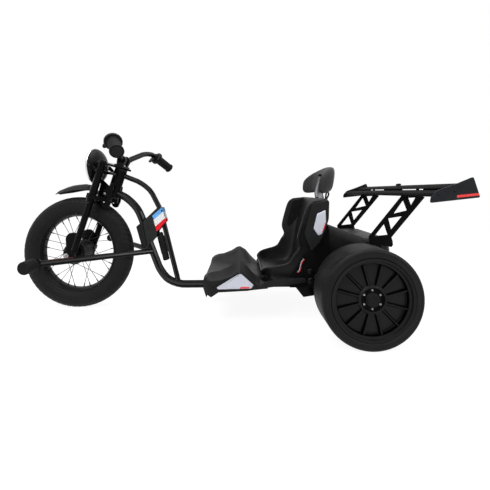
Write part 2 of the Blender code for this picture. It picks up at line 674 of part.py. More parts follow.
def frame_tubes(black, body):
    """The bent main tube, the thinner upper tube and the two foot peg bars, cut where they meet."""
    main_line = main_route()
    main_tube = solid("main_tube", tube(main_line, MAIN_TUBE_RADIUS), black, body)
    upper = solid("upper_tube", tube(upper_route(), UPPER_TUBE_RADIUS), black, body)
    reach = HEAD_TUBE_RADIUS + 0.0015 + SEAT_GAP
    column = [(0.0, -0.02), (reach, -0.02), (reach, 0.16), (0.0, 0.16)]
    post = solid("head_tool", turned(column, head(0, 0, 0), UP_HEAD), black, body)
    reach = AXLE_HOUSING_RADIUS + SEAT_GAP
    column = [(0.0, -0.1), (reach, -0.1), (reach, 0.1), (0.0, 0.1)]
    boolean(main_tube, post)
    boolean(main_tube, solid("housing_tool", turned(column, REAR_AXLE, SIDE), black, body))
    room = solid("main_tool", tube(main_line, MAIN_TUBE_RADIUS + SEAT_GAP), black, body)
    boolean(upper, post)
    boolean(upper, room)
    collar = [(0.0, -0.014), (PEG_BAR_RADIUS + 0.005, -0.014), (PEG_BAR_RADIUS + 0.007, -0.010),
              (PEG_BAR_RADIUS + 0.007, 0.0), (0.0, 0.0)]

    def one(side, word):
        start, end = head(-0.215, side * 0.004, -0.135), peg_place(side) + Vector((0.007, -side * 0.011, 0))
        bar = solid("peg_bar_" + word, tube([start, end], PEG_BAR_RADIUS), black, body)
        disc = solid("collar_tool", turned(collar, peg_place(side), SIDE * side), black, body)
        boolean(bar, disc, "UNION")
        boolean(bar, room)

    both_sides(one)
    return room


def peg_place(side):
    """The middle of the face against which a foot peg stands."""
    return front(0.008, side * PEG_REACH, 0.014)


def foot_pegs(rubber, body):
    """A ribbed rubber peg on the end of each bar."""
    profile = [(0.0, SEAT_GAP), (PEG_RADIUS - 0.003, SEAT_GAP), (PEG_RADIUS, 0.003)]
    for i in range(1, 3):
        along = i * PEG_LENGTH / 3
        profile += [(PEG_RADIUS, along - 0.002), (PEG_RADIUS - 0.0015, along), (PEG_RADIUS, along + 0.002)]
    profile += [(PEG_RADIUS, PEG_LENGTH - 0.003), (PEG_RADIUS - 0.003, PEG_LENGTH), (0.0, PEG_LENGTH)]

    def one(side, word):
        solid("foot_peg_" + word, turned(profile, peg_place(side), SIDE * side), rubber, body)

    both_sides(one)


def frame_panels(panel, plastic, grey, room, body):
    """The side plates on the tubes, the controller in front of them and the canister between."""
    outline = [(0.2663, 0.130), (0.3138, 0.175), (0.3318, 0.175), (0.3468, 0.122), (0.3133, 0.081),
               (0.3123, 0.0625), (0.2948, 0.048), (0.2748, 0.0195), (0.2583, 0.118)]
    inner = MAIN_TUBE_RADIUS + SEAT_GAP

    def one(side, word):
        plate = slab(outline, side * inner, side * (inner + PLATE_THICKNESS), by_front)
        solid("side_plate_" + word, plate, panel, body)

    both_sides(one)
    outline = [(0.2325, 0.1005), (0.242, 0.1095), (0.255, 0.1175), (0.2570, 0.1165), (0.2725, 0.0265),
               (0.264, 0.0185), (0.2555, 0.021)]
    box = solid("controller_box", slab(outline, -0.021, 0.021, by_front), plastic, body)
    boolean(box, room)
    bend, foot = upper_ends()
    run = (foot - bend).normalized()
    ahead = Vector((run.z, 0, -run.x))
    start = bend + run * 0.078 + ahead * (UPPER_TUBE_RADIUS + CANISTER_RADIUS + 0.0005)
    end = CANISTER_LENGTH
    profile = [(0.0, 0.0), (0.009, 0.0), (0.0115, 0.006), (0.0115, 0.014), (CANISTER_RADIUS, 0.017),
               (CANISTER_RADIUS, end - 0.030), (CANISTER_RADIUS - 0.0012, end - 0.029),
               (CANISTER_RADIUS - 0.0012, end - 0.003), (CANISTER_RADIUS - 0.004, end), (0.0, end)]
    solid("canister", turned(profile, start, run), grey, body)


def floor_body(plastic, silver, black, room, body):
    """The moulded floor with two foot pods, its side panels and the brackets that carry it."""
    stations = ((-0.502, 0.93, 0.128, 0.0, 0.16, 0.0), (-0.489, 0.965, 0.108, 0.20, 0.34, 0.0),
                (-0.474, 0.993, 0.100, 0.17, 0.43, 0.0), (-0.449, 1.0, 0.117, 0.21, 0.49, 0.0),
                (-0.414, 1.0, 0.119, 0.38, 0.72, 0.0), (-0.392, 1.0, 0.120, 0.53, 0.95, 0.0),
                (-0.378, 1.0, 0.121, 0.59, 1.0, 0.0), (-0.354, 1.0, 0.122, 0.33, 0.77, 0.0),
                (-0.332, 0.98, 0.124, 0.02, 0.34, -0.002), (-0.309, 0.96, 0.125, -0.20, -0.02, -0.005),
                (-0.284, 0.955, 0.127, -0.20, -0.22, -0.012))
    slopes = ((0.115, 0.84), (0.095, 0.46), (0.075, 0.12), (0.055, 0.0), (0.0, 0.0))
    width = BODY_HALF_WIDTH * stations[0][1]
    foot = [(width, 0.0975), (width - 0.002, 0.0995), (width - 0.009, 0.1005), (POD_SPACING, 0.102),
            *((y, 0.108 - 0.005 * share) for y, share in slopes)]
    halves = [(stations[0][0] + 0.010, foot)]
    for back, wide, bottom, edge, crest, drop in stations:
        width = BODY_HALF_WIDTH * wide
        rim, ridge, valley = BODY_FLOOR + POD_RISE * edge, BODY_FLOOR + POD_RISE * crest, BODY_FLOOR + drop
        halves.append((back, [(width, bottom), (width, rim - 0.006), (width - 0.009, rim + 0.003),
                              (POD_SPACING, ridge),
                              *((y, valley + (ridge - valley) * share) for y, share in slopes)]))
    rows = [[rear(back, y, z) for y, z in half] + [rear(back, -y, z) for y, z in half[-2::-1]]
            for back, half in halves]
    floor = solid("floor_body", grid(rows), plastic, body, wall=BODY_WALL)
    skirt = [(-0.303, 0.128), (-0.160, 0.148), (-0.154, 0.155), (-0.160, 0.163), (-0.240, 0.160), (-0.303, 0.145)]
    for side in (-1, 1):
        shape = slab(skirt, side * 0.1595, side * (BODY_HALF_WIDTH - 0.006), by_rear)
        boolean(floor, solid("skirt_tool", shape, plastic, body), "UNION")
    outline = [(-0.456, 0.134), (-0.380, 0.1805), (-0.374, 0.1805), (-0.332, 0.143), (-0.340, 0.131),
               (-0.450, 0.128)]
    low = BODY_HALF_WIDTH + SEAT_GAP

    def one(side, word):
        plate = slab(outline, side * low, side * (low + SIDE_PANEL_THICKNESS), by_rear)
        solid("side_panel_" + word, plate, silver, body)

    both_sides(one)
    base, top = FLOOR_TUBE_HEIGHT + SADDLE_DROP, BODY_FLOOR - BODY_WALL - 2 * SEAT_GAP
    rail = FLOOR_TUBE_HEIGHT + MAIN_TUBE_RADIUS + 0.007
    spine = [(-0.460, base), (-0.318, base), (-0.318, top - 0.004), (-0.334, top - 0.004), (-0.334, rail),
             (-0.440, rail), (-0.440, top), (-0.460, top)]
    mount = solid("body_mount", slab(spine, -0.012, 0.012, by_rear), black, body)
    for back, height in ((-0.460, top), (-0.334, top - 0.004)):
        bar = [(back, height - 0.008), (back + 0.016, height - 0.008), (back + 0.016, height), (back, height)]
        boolean(mount, solid("bar_tool", slab(bar, -0.050, 0.050, by_rear), black, body), "UNION")
    boolean(mount, room)


# Stations of the seat: distance behind the rear axle and height of the middle of its inner skin,
# the same for the edge of its side wings, the share of the full width, and how square the section is
SEAT_STATIONS = ((-0.297, 0.159, -0.298, 0.163, 0.78, 0.0), (-0.281, 0.150, -0.284, 0.161, 0.84, 0.0),
                 (-0.264, 0.138, -0.270, 0.166, 0.91, 0.0),
                 (-0.239, 0.133, -0.246, 0.177, 0.945, 0.0), (-0.214, 0.132, -0.224, 0.186, 0.965, 0.0),
                 (-0.169, 0.140, -0.211, 0.205, 0.985, 0.0), (-0.142, 0.175, -0.206, 0.232, 1.01, 0.1),
                 (-0.129, 0.230, -0.198, 0.264, 1.05, 0.4), (-0.118, 0.290, -0.182, 0.305, 1.11, 0.8),
                 (-0.104, 0.350, -0.165, 0.358, 1.17, 1.0), (-0.089, 0.405, -0.150, 0.414, 1.195, 1.0),
                 (-0.084, 0.422, -0.136, 0.428, 1.165, 1.0))


def seat_back_at(height):
    """How far behind the rear axle the seat's outer skin lies at a height of its upper back."""
    low, high = SEAT_STATIONS[-3:-1]
    share = (height - low[1]) / (high[1] - low[1])
    return low[0] + (high[0] - low[0]) * share + SEAT_WALL * 1.06


def seat(plastic, black, room, body):
    """The bucket seat's shell with its side wings, and the block that carries it on the main tube."""
    middles = curve([rear(back, 0, height) for back, height, *_ in SEAT_STATIONS], 2)
    edges = curve([rear(back, 0, height) for _, _, back, height, _, _ in SEAT_STATIONS], 2)
    widths = curve([(SEAT_HALF_WIDTH * wide, square, 0) for *_, wide, square in SEAT_STATIONS], 2)
    section = ((1.07, 1.0, 1.0), (1.05, 0.72, 0.66), (1.02, 0.42, 0.28), (0.97, 0.18, 0.06),
               (0.86, 0.04, 0.0), (0.66, 0.0, 0.0), (0.30, 0.0, 0.0))
    section = (*section, *((-y, curved, boxed) for y, curved, boxed in reversed(section)))
    rows = [[middle + SIDE * (width.x * y) + (edge - middle) * (curved + (boxed - curved) * width.y)
             for y, curved, boxed in section]
            for middle, edge, width in zip(middles, edges, widths)]
    solid("seat_shell", grid(rows), plastic, body, wall=SEAT_WALL)
    base, top = FLOOR_TUBE_HEIGHT + SADDLE_DROP, SEAT_STATIONS[4][1] - SEAT_WALL - 2 * SEAT_GAP
    spine = [(-0.228, base), (-0.200, base), (-0.200, top), (-0.228, top)]
    mount = solid("seat_mount", slab(spine, -0.013, 0.013, by_rear), black, body)
    bar = [(-0.226, top - 0.006), (-0.202, top - 0.006), (-0.202, top), (-0.226, top)]
    boolean(mount, solid("bar_tool", slab(bar, -0.070, 0.070, by_rear), black, body), "UNION")
    boolean(mount, room)


def on_post(across, along, depth):
    """An outline in the middle plane, square to the headrest post and up it, with depth sideways."""
    foot = rear(-0.0671, 0, 0.372)
    run = Vector((math.sin(POST_LEAN), 0, math.cos(POST_LEAN)))
    return foot + run * along + Vector((run.z, 0, -run.x)) * across + SIDE * depth


def post_bar(gap, low, high, half):
    """The post's outline with a gap round it, between two heights, extruded to each side."""
    reach = POST_WIDTH / 2 + gap
    return slab([(-reach, low), (reach, low), (reach, high), (-reach, high)], -half, half, on_post)


def headrest(fabric, chrome, black, body, slider):
    """The bowed headrest with its post in a groove, and the guide behind the seat in which it slides."""
    half, top = POST_THICKNESS / 2, POST_LENGTH - 0.026
    post = post_bar(0.0, -0.026, top, half)
    upright = [edge for edge in post.edges if abs(edge.verts[0].co.z - edge.verts[1].co.z) > POST_LENGTH / 2]
    bmesh.ops.bevel(post, geom=upright, offset=0.005, segments=3, profile=0.5, affect="EDGES")
    solid("headrest_post", post, chrome, slider)
    low, high = 0.376, 0.408
    outline = [(seat_back_at(low) + 0.0008, low), (seat_back_at(high) + 0.0008, high), (-0.046, high),
               (-0.049, low)]
    guide = solid("headrest_guide", slab(outline, -0.020, 0.020, by_rear), black, body)
    boolean(guide, solid("post_tool", post_bar(RUN_GAP, -0.02, 0.09, half + RUN_GAP), black, body))
    middle = rear(-0.040, 0, 0.496)
    sections = []
    for share in (-1.0, -0.94, -0.78, -0.55, -0.30, 0.0, 0.30, 0.55, 0.78, 0.94, 1.0):
        side = abs(share)
        scale = 1.0 - 0.45 * max(0.0, (side - 0.55) / 0.45) ** 2
        section = []
        for i in range(16):
            turn = math.tau * i / 16
            reach = (abs(math.cos(turn)) ** 3 + abs(math.sin(turn)) ** 3) ** (-1 / 3)
            back = HEADREST_DEPTH / 2 * reach * math.cos(turn) * scale - HEADREST_BOW * side**2
            height = HEADREST_HEIGHT / 2 * reach * math.sin(turn) * scale
            section.append(middle + Vector((back + 0.15 * height, share * HEADREST_HALF_WIDTH, height)))
        sections.append(section)
    pad = solid("headrest_pad", loft(sections), fabric, slider)
    room = post_bar(SEAT_GAP, 0.0, top + SEAT_GAP, half + SEAT_GAP)
    boolean(pad, solid("post_room_tool", room, black, slider))
    groove = [(-0.080, 0.0), (0.004, 0.0), (0.004, top - 0.014), (-0.080, top - 0.010)]
    boolean(pad, solid("groove_tool", slab(groove, -0.017, 0.017, on_post), black, slider))


def rear_frame(plastic, black, grey, body):
    """The subframe with its axle housing, the fixed axle, the battery and the cowl over them."""
    inner, half = COWL_HALF_WIDTH - COWL_WALL - SEAT_GAP, REAR_TYRE_INNER_FACE - SEAT_GAP
    hollow = bore(REAR_AXLE_RADIUS)
    housing = [(hollow, -half), (0.014, -half), (0.014, 0.022 - half), (AXLE_HOUSING_RADIUS, 0.024 - half),
               (AXLE_HOUSING_RADIUS, half - 0.024), (0.014, half - 0.022), (0.014, half), (hollow, half)]
    solid("axle_housing", turned(housing, REAR_AXLE, SIDE), black, body)
    end = REAR_MIDDLE + HUB_RECESS - 0.0005
    shaft = [(0.0, -end), (REAR_AXLE_RADIUS, -end), (REAR_AXLE_RADIUS, end), (0.0, end)]
    solid("rear_axle", turned(shaft, REAR_AXLE, SIDE), grey, body)
    outline = [(-0.186, 0.124), (-0.160, 0.092), (-0.034, 0.112), (0.024, 0.112), (0.034, 0.150),
               (0.100, 0.176), (0.102, 0.248), (0.050, 0.255), (-0.044, 0.285), (-0.060, 0.190), (-0.074, 0.165)]
    hole = [circle(0.0, REAR_AXLE.z, bore(AXLE_HOUSING_RADIUS))]
    tray = [(-0.050, 0.185), (0.102, 0.185), (0.102, 0.188), (-0.050, 0.188)]
    frame = solid("subframe", slab(tray, -inner + 0.001, inner - 0.001, by_rear), black, body)
    for side in (-1, 1):
        plate = slab(outline, side * (inner - SUPPORT_THICKNESS), side * inner, by_rear, hole)
        boolean(frame, solid("support_tool", plate, black, body), "UNION")
    pack = [(-0.044, 0.1883), (0.106, 0.1883), (0.106, 0.258), (0.098, 0.266), (-0.036, 0.266), (-0.044, 0.258)]
    solid("battery_pack", slab(pack, -BATTERY_HALF_WIDTH, BATTERY_HALF_WIDTH, by_rear), grey, body)
    side_view = [(-0.074, 0.172), (-0.074, 0.340), (0.060, 0.290), (0.137, 0.290), (0.144, 0.250), (0.138, 0.172)]
    cowl = slab(side_view, -COWL_HALF_WIDTH, COWL_HALF_WIDTH, by_rear)
    bmesh.ops.recalc_face_normals(cowl, faces=cowl.faces)
    open_faces = [face for face in cowl.faces if face.normal.z < -0.9 or face.normal.x < -0.9]
    bmesh.ops.delete(cowl, geom=open_faces, context="FACES")
    crest = [edge for edge in cowl.edges if len(edge.link_faces) == 2
             and edge.verts[0].co.y * edge.verts[1].co.y > 0]
    bmesh.ops.bevel(cowl, geom=crest, offset=COWL_CORNER, segments=4, profile=0.5, affect="EDGES")
    solid("rear_cowl", cowl, plastic, body, wall=COWL_WALL, even=True)


def struts(black, body):
    """Two truss plates that carry the wing, each with a block under the wing."""
    foot, top = ((0.060, 0.300), (0.137, 0.298)), ((0.1654, 0.4307), (0.250, 0.434))

    def spot(along, across):
        """A point of the plate from its share of the height and of the width."""
        near = [a + (b - a) * along for a, b in zip(foot[0], top[0])]
        far = [a + (b - a) * along for a, b in zip(foot[1], top[1])]
        return tuple(a + (b - a) * across for a, b in zip(near, far))

    outline = [spot(0, 0), (0.068, 0.250), (0.098, 0.247), (0.104, 0.278), (0.128, 0.266), (0.137, 0.265),
               (0.142, 0.272), (0.141, 0.285), spot(0, 1), spot(1, 1), spot(1.055, 0.74), spot(1.055, 0)]
    windows = [[spot(*p) for p in window] for window in (
        ((0.333, 0.21), (0.017, 0.23), (0.06, 0.75)), ((0.474, 0.20), (0.53, 0.71), (0.184, 0.72)),
        ((0.948, 0.20), (0.595, 0.26), (0.675, 0.72)), ((1.0, 0.34), (1.0, 0.64), (0.795, 0.72)))]
    low = COWL_HALF_WIDTH + SEAT_GAP
    block = [(0.174, 0.4368), (0.222, 0.4380), (0.228, 0.4546), (0.211, 0.4503), (0.182, 0.4415), (0.174, 0.4398)]

    def one(side, word):
        plate = slab(outline, side * low, side * (low + STRUT_THICKNESS), by_rear, windows)
        strut = solid("strut_" + word, plate, black, body)
        pad = slab(block, side * (low - 0.005), side * (low + 0.009), by_rear)
        boolean(strut, solid("block_tool", pad, black, body), "UNION")

    both_sides(one)


def wing(black, panel, body):
    """The main plane with its flap on ribs, and a plate at each end."""
    half = WING_HALF_SPAN - SEAT_GAP
    plane = [(0.156, 0.443), (0.162, 0.449), (0.182, 0.455), (0.211, 0.457), (0.232, 0.459), (0.232, 0.4565),
             (0.211, 0.451), (0.182, 0.442), (0.164, 0.4385)]
    flap = [(0.216, 0.463), (0.224, 0.468), (0.246, 0.473), (0.271, 0.478), (0.271, 0.4755), (0.246, 0.469),
            (0.226, 0.462)]
    blade = solid("wing", slab(plane, -half, half, by_rear), black, body)
    rib = [(0.2225, 0.4570), (0.2312, 0.4575), (0.2312, 0.4655), (0.2225, 0.4645)]
    ribs = [slab(rib, side - 0.002, side + 0.002, by_rear) for side in (-0.312, -0.155, 0.0, 0.155, 0.312)]
    boolean(blade, solid("rib_tool", together(ribs), black, body), "UNION")
    boolean(blade, solid("flap_tool", slab(flap, -half, half, by_rear), black, body), "UNION")
    outline = [(0.151, 0.4216), (0.1528, 0.438), (0.1694, 0.4563), (0.2262, 0.4762), (0.2706, 0.4945),
               (0.2894, 0.4369)]

    def one(side, word):
        plate = slab(outline, side * WING_HALF_SPAN, side * (WING_HALF_SPAN + END_PLATE_THICKNESS), by_rear)
        solid("wing_end_" + word, plate, panel, body)

    both_sides(one)


def rear_wheels(rubber, black, steel, left, right):
    """Two wide tyres, each on a twelve panel wheel with a bolted hub cap."""
    half, seat, top = REAR_HALF, REAR_RIM_RADIUS + SEAT_GAP, REAR_TYRE_RADIUS
    side = [(seat, half - 0.003), (seat + 0.006, half), (top - 0.010, half), (top - 0.003, half - 0.003),
            (top, half - 0.009)]
    tyre = side + [(radius, -along) for radius, along in reversed(side)]
    face, hollow = half - 0.010, bore(REAR_AXLE_RADIUS, RUN_GAP, REAR_SEGMENTS)
    edge = REAR_RIM_RADIUS
    rim = [(hollow, -half), (0.017, -half), (0.017, HUB_RECESS - 0.012), (0.037, HUB_RECESS - 0.010),
           (0.038, face - 0.012), (edge - 0.012, face - 0.012), (edge - 0.010, 0.020 - half),
           (edge - 0.004, 0.003 - half), (edge, 0.003 - half), (edge, half - 0.003), (edge - 0.004, half - 0.002),
           (edge - 0.011, face), (0.0335, face + 0.002), (0.0335, HUB_RECESS), (hollow, HUB_RECESS)]

    def one(sign, word):
        pivot = left if sign < 0 else right
        centre, line = rear(0, sign * REAR_MIDDLE, REAR_AXLE.z), SIDE * sign
        solid("rear_tyre_" + word, turned(tyre, centre, line, REAR_SEGMENTS), rubber, pivot)
        wheel = solid("rear_rim_" + word, turned(rim, centre, line, REAR_SEGMENTS), black, pivot)
        boolean(wheel, solid("pocket_tool", together(pockets(centre, line, face)), black, pivot))
        start = HUB_RECESS + SEAT_GAP
        cap = [(0.0, start), (0.0325, start), (0.0325, start + 0.002), (0.021, start + 0.0025),
               (0.020, start + 0.008), (0.016, start + 0.011), (0.0, start + 0.0115)]
        hub = solid("rear_hub_cap_" + word, turned(cap, centre, line, 24), steel, pivot)
        bolts = []
        for i in range(6):
            turn = math.tau * (i + 0.5) / 6
            spot = centre + Vector((math.cos(turn), 0, math.sin(turn))) * 0.0268
            bolt = [(0.0, start + 0.001), (0.0042, start + 0.001), (0.0042, start + 0.006), (0.0, start + 0.006)]
            bolts.append(turned(bolt, spot, line, 6))
        boolean(hub, solid("bolt_tool", together(bolts), steel, pivot), "UNION")

    both_sides(one)


def pockets(centre, line, face):
    """Twelve shallow wedge pockets, one for each panel of the wheel."""
    count, rib, low, high = 12, 0.0022, 0.042, REAR_RIM_RADIUS - 0.018
    shapes = []
    for i in range(count):
        corners = []
        for radius, steps, way in ((low, 1, 1), (high, 3, -1)):
            spread = way * (math.pi / count - math.asin(rib / radius))
            turns = [spread * (2 * s / steps - 1) + math.tau * i / count for s in range(steps + 1)]
            corners += [(radius * math.cos(t), radius * math.sin(t)) for t in turns]
        shapes.append(slab(corners, face - 0.004, face + 0.010,
                           lambda a, b, depth: centre + Vector((a, 0, b)) + line * depth))
    return shapes


def centre_on_floor(trike):
    """Puts the origin under the middle of the finished tricycle's box."""
    bpy.context.view_layer.update()
    graph = bpy.context.evaluated_depsgraph_get()
    xs = []
    for item in bpy.context.scene.objects:
        if item.type == "MESH" and not item.hide_render:
            shown = item.evaluated_get(graph)
            xs += [(shown.matrix_world @ corner.co).x for corner in shown.data.vertices]
    trike.empty.location.x = -(min(xs) + max(xs)) / 2


def main():
    clear_scene()
    black = finish("black_paint", (0.012, 0.012, 0.013), 0.35, 0.2)
    plastic = finish("black_plastic", (0.020, 0.020, 0.021), 0.55)
    rubber = finish("rubber", (0.024, 0.024, 0.025), 0.8)
    steel = finish("steel", (0.42, 0.42, 0.43), 0.35, 1.0)
    chrome = finish("chrome", (0.70, 0.70, 0.72), 0.12, 1.0)
    grey = finish("dark_metal", (0.05, 0.05, 0.055), 0.45, 0.6)
    clear = finish("lens", (0.75, 0.78, 0.80), 0.1)
    panel = finish("dark_panel", (0.02, 0.022, 0.026), 0.4)
    silver = finish("silver_panel", (0.42, 0.41, 0.47), 0.35, 0.3)

    trike = Pivot("tricycle", (0, 0, 0))
    body = Pivot("frame", (0, 0, 0), trike)
    turn = Matrix.Rotation(STEER_REST, 4, UP_HEAD).to_quaternion()
    steering = Pivot("steering_axis", head(0, 0, 0), trike, turn)
    wheel = Pivot("front_wheel_axis", FRONT_AXLE, steering)
    lamp = Pivot("headlight_axis", head(LAMP_FORWARD, 0, LAMP_UP), steering)
    throttle = Pivot("throttle_axis", grip_point(1, -HOUSING_LENGTH - SEAT_GAP), steering)
    brake = Pivot("brake_axis", grip_point(-1, -HOUSING_LENGTH - SEAT_GAP), steering)
    slider = Pivot("headrest_slide", on_post(0, 0, 0), trike)
    left = Pivot("rear_left_axis", REAR_AXLE, trike)
    right = Pivot("rear_right_axis", REAR_AXLE, trike)

    steering_head(black, steel, steering, body)
    fork_crown(black, steering)
    fork_legs(black, steering)
    front_axle(steel, steering)
    front_fender(plastic, steering)
    handlebar(black, rubber, grey, steering)
    paddle("throttle_paddle", 1, plastic, throttle)
    paddle("brake_paddle", -1, plastic, brake)
    headlight(black, clear, steering, lamp)
    front_wheel(rubber, black, steel, grey, wheel)
    room = frame_tubes(black, body)
    foot_pegs(rubber, body)
    frame_panels(panel, plastic, grey, room, body)
    floor_body(plastic, silver, black, room, body)
    seat(plastic, black, room, body)
    headrest(plastic, chrome, black, body, slider)
    rear_frame(plastic, black, grey, body)
    struts(black, body)
    wing(black, panel, body)
    rear_wheels(rubber, black, steel, left, right)
    centre_on_floor(trike)


main()
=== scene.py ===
# %% [markdown]
# # An electric drift tricycle, dressed for its picture
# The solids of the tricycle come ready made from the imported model: tubes, fork, wheels, seat, wing.
# This notebook gives them their finishes and adds what solids leave out, such as tread, stickers and
# bolts. Every length is in metres, and tables typed in millimetres go through `mm()`. X runs to the
# rear, Y to the rider's right, and Z up.

# %% Tools
import json
import math

import bmesh
import bpy
import numpy as np
from mathutils import Matrix, Vector

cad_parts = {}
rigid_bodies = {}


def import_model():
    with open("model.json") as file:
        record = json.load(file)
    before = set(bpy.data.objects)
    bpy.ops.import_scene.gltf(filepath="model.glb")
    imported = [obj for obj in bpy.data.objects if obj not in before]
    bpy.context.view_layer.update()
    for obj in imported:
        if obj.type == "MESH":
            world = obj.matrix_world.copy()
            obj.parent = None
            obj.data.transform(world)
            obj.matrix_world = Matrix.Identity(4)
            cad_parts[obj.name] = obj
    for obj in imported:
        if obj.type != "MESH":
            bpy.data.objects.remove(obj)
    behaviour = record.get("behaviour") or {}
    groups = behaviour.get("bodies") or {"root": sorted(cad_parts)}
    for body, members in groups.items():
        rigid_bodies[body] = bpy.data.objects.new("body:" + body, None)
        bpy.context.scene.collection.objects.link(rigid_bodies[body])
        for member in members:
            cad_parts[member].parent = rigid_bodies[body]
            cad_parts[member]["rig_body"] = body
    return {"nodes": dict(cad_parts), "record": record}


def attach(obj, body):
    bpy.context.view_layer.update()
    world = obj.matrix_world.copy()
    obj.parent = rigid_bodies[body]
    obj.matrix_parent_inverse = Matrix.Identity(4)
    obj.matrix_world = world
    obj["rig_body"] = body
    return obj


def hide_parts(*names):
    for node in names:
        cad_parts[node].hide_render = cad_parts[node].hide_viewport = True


for left_over in list(bpy.data.objects):
    bpy.data.objects.remove(left_over)
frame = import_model()
NODES, RECORD = frame["nodes"], frame["record"]
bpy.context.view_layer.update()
SIDES = ((-1, "left"), (1, "right"))

# %% [markdown]
# ## Camera
# The picture was taken from the left side, with the lens close to the tricycle, so that near things
# look larger than far ones. A wide lens one metre away gives this. The lens is shifted, not tilted,
# because upright lines stay upright in the picture.

# %% Camera
IMAGE, SENSOR, FOCAL_PIXELS = 490, 36.0, 277.75
photo_view = bpy.data.cameras.new("photo_view")
photo_view.sensor_width, photo_view.lens = SENSOR, FOCAL_PIXELS / IMAGE * SENSOR
photo_view.shift_x, photo_view.shift_y = 4.0 / IMAGE, -53.5 / IMAGE
camera = bpy.data.objects.new("photo_view", photo_view)
camera.location = (0.096145, -1.1, 0.4535)
camera.rotation_euler = (math.radians(90), 0, 0)
bpy.context.scene.collection.objects.link(camera)
bpy.context.scene.camera = camera
print("lens", round(photo_view.lens, 2), "mm")

# %% [markdown]
# ## Joints as places
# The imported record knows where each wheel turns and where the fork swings. Reading the places there
# keeps new pieces on the solids, even when the model is packed again. The steering head is leaned back
# and turned by two degrees, so it gets its own three directions.

# %% Joints as places
JOINT = {joint["name"]: joint for joint in RECORD["behaviour"]["joints"]}
HEAD = np.array(JOINT["steering_turn"]["pos_m"])
UP = np.array(JOINT["steering_turn"]["axis"])
ACROSS = np.array(JOINT["front_wheel_spin"]["axis"])
AHEAD = np.cross(UP, ACROSS)
UNTURNED_AHEAD = np.array([-UP[2], 0.0, UP[0]])
FRONT_AXLE = np.array(JOINT["front_wheel_spin"]["pos_m"])
REAR_AXLE = np.array(JOINT["rear_wheel_left_spin"]["pos_m"])
LAMP = np.array(JOINT["headlight_tilt"]["pos_m"])
LAMP_AXIS = np.array(Matrix.Rotation(math.radians(-2.0), 3, Vector(UP)) @ Vector((-1, 0, 0)))


def head(ahead, across, up):
    """A place in the turned steering head: the joint plus each distance along its own direction."""
    return HEAD + AHEAD * ahead + ACROSS * across + UP * up


def rear(back, across, height):
    """A place behind the rear axle, sideways and above the floor."""
    return np.array([REAR_AXLE[0] + back, across, height])


print("front axle", FRONT_AXLE.round(4), "rear axle", REAR_AXLE.round(4))

# %% [markdown]
# ## Floor, backdrop and light
# The object stands on a plain white floor in a white room. The floor could be lit until it is white,
# but that would also bleach the tricycle. Instead, the floor and the world show themselves as white to
# the camera and in reflections only, and a share of plain diffuse floor keeps a soft shadow.


# %% Floor, backdrop and light
def node(tree, kind, values=None, **settings):
    """Adds one shader node; a value that is a socket is linked, and any other value is set."""
    made = tree.nodes.new("ShaderNode" + kind)
    for key, value in settings.items():
        setattr(made, key, value)
    for key, value in (values or {}).items():
        if isinstance(value, bpy.types.NodeSocket):
            tree.links.new(value, made.inputs[key])
        else:
            made.inputs[key].default_value = value
    return made


def maths(tree, operation, a, b=0.0, c=0.0, clamp=False):
    """One Math node's result."""
    return node(tree, "Math", {0: a, 1: b, 2: c}, operation=operation, use_clamp=clamp).outputs[0]


def seen_directly(tree):
    """1 for rays from the camera, from mirrors and through glass, and 0 for light that falls on things."""
    path = node(tree, "LightPath").outputs
    seen = maths(tree, "MAXIMUM", path["Is Camera Ray"], path["Is Glossy Ray"])
    return maths(tree, "MAXIMUM", seen, path["Is Transmission Ray"])


world = bpy.data.worlds.new("white_room")
bpy.context.scene.world = world
world.use_nodes = True
world.node_tree.nodes.clear()
strength = maths(world.node_tree, "MULTIPLY_ADD", seen_directly(world.node_tree), 0.62, 0.38)
sky = node(world.node_tree, "Background", {"Color": (1, 1, 1, 1), "Strength": strength})
world.node_tree.links.new(sky.outputs[0], node(world.node_tree, "OutputWorld").inputs[0])

floor_finish = bpy.data.materials.new("white_floor")
floor_finish.use_nodes = True
tree = floor_finish.node_tree
tree.nodes.clear()
plain = node(tree, "BsdfDiffuse", {"Color": (0.9, 0.9, 0.9, 1)})
white = node(tree, "Emission", {"Color": (1, 1, 1, 1), "Strength": 1.2})
share = maths(tree, "MULTIPLY", seen_directly(tree), 0.76)
mixed = node(tree, "MixShader", {0: share, 1: plain.outputs[0], 2: white.outputs[0]})
tree.links.new(mixed.outputs[0], node(tree, "OutputMaterial").inputs[0])

floor_mesh = bpy.data.meshes.new("floor")
floor_mesh.from_pydata([(-8, -8, 0), (8, -8, 0), (8, 8, 0), (-8, 8, 0)], [], [(0, 1, 2, 3)])
floor_mesh.materials.append(floor_finish)
floor = bpy.data.objects.new("floor", floor_mesh)
bpy.context.scene.collection.objects.link(floor)


def softbox(name, place, aim, size, power):
    """A square area lamp at a place, turned to a point."""
    lamp = bpy.data.lights.new(name, "AREA")
    lamp.energy, lamp.size = power, size
    item = bpy.data.objects.new(name, lamp)
    item.location = place
    item.rotation_euler = (Vector(aim) - Vector(place)).to_track_quat("-Z", "Y").to_euler()
    bpy.context.scene.collection.objects.link(item)


softbox("key_box", (-1.4, -1.9, 2.6), (0.0, 0, 0.2), 1.0, 36)
softbox("top_box", (0.2, -0.3, 2.5), (0.1, 0, 0.2), 1.9, 34)
softbox("side_box", (2.2, -1.2, 1.4), (0.3, 0, 0.2), 1.0, 16)
bpy.context.scene.view_settings.view_transform = "Standard"
print("three softboxes and a white room")

# %% [markdown]
# ## Surfaces from arrays
# Most new pieces are turned or swept shapes. Each is a grid of points worked out at once with numpy:
# one direction of the grid runs round, the other runs along the profile. The last column is joined to
# the first where the shape closes. Points that fall together at a pole are merged, and then the faces
# are turned outwards.


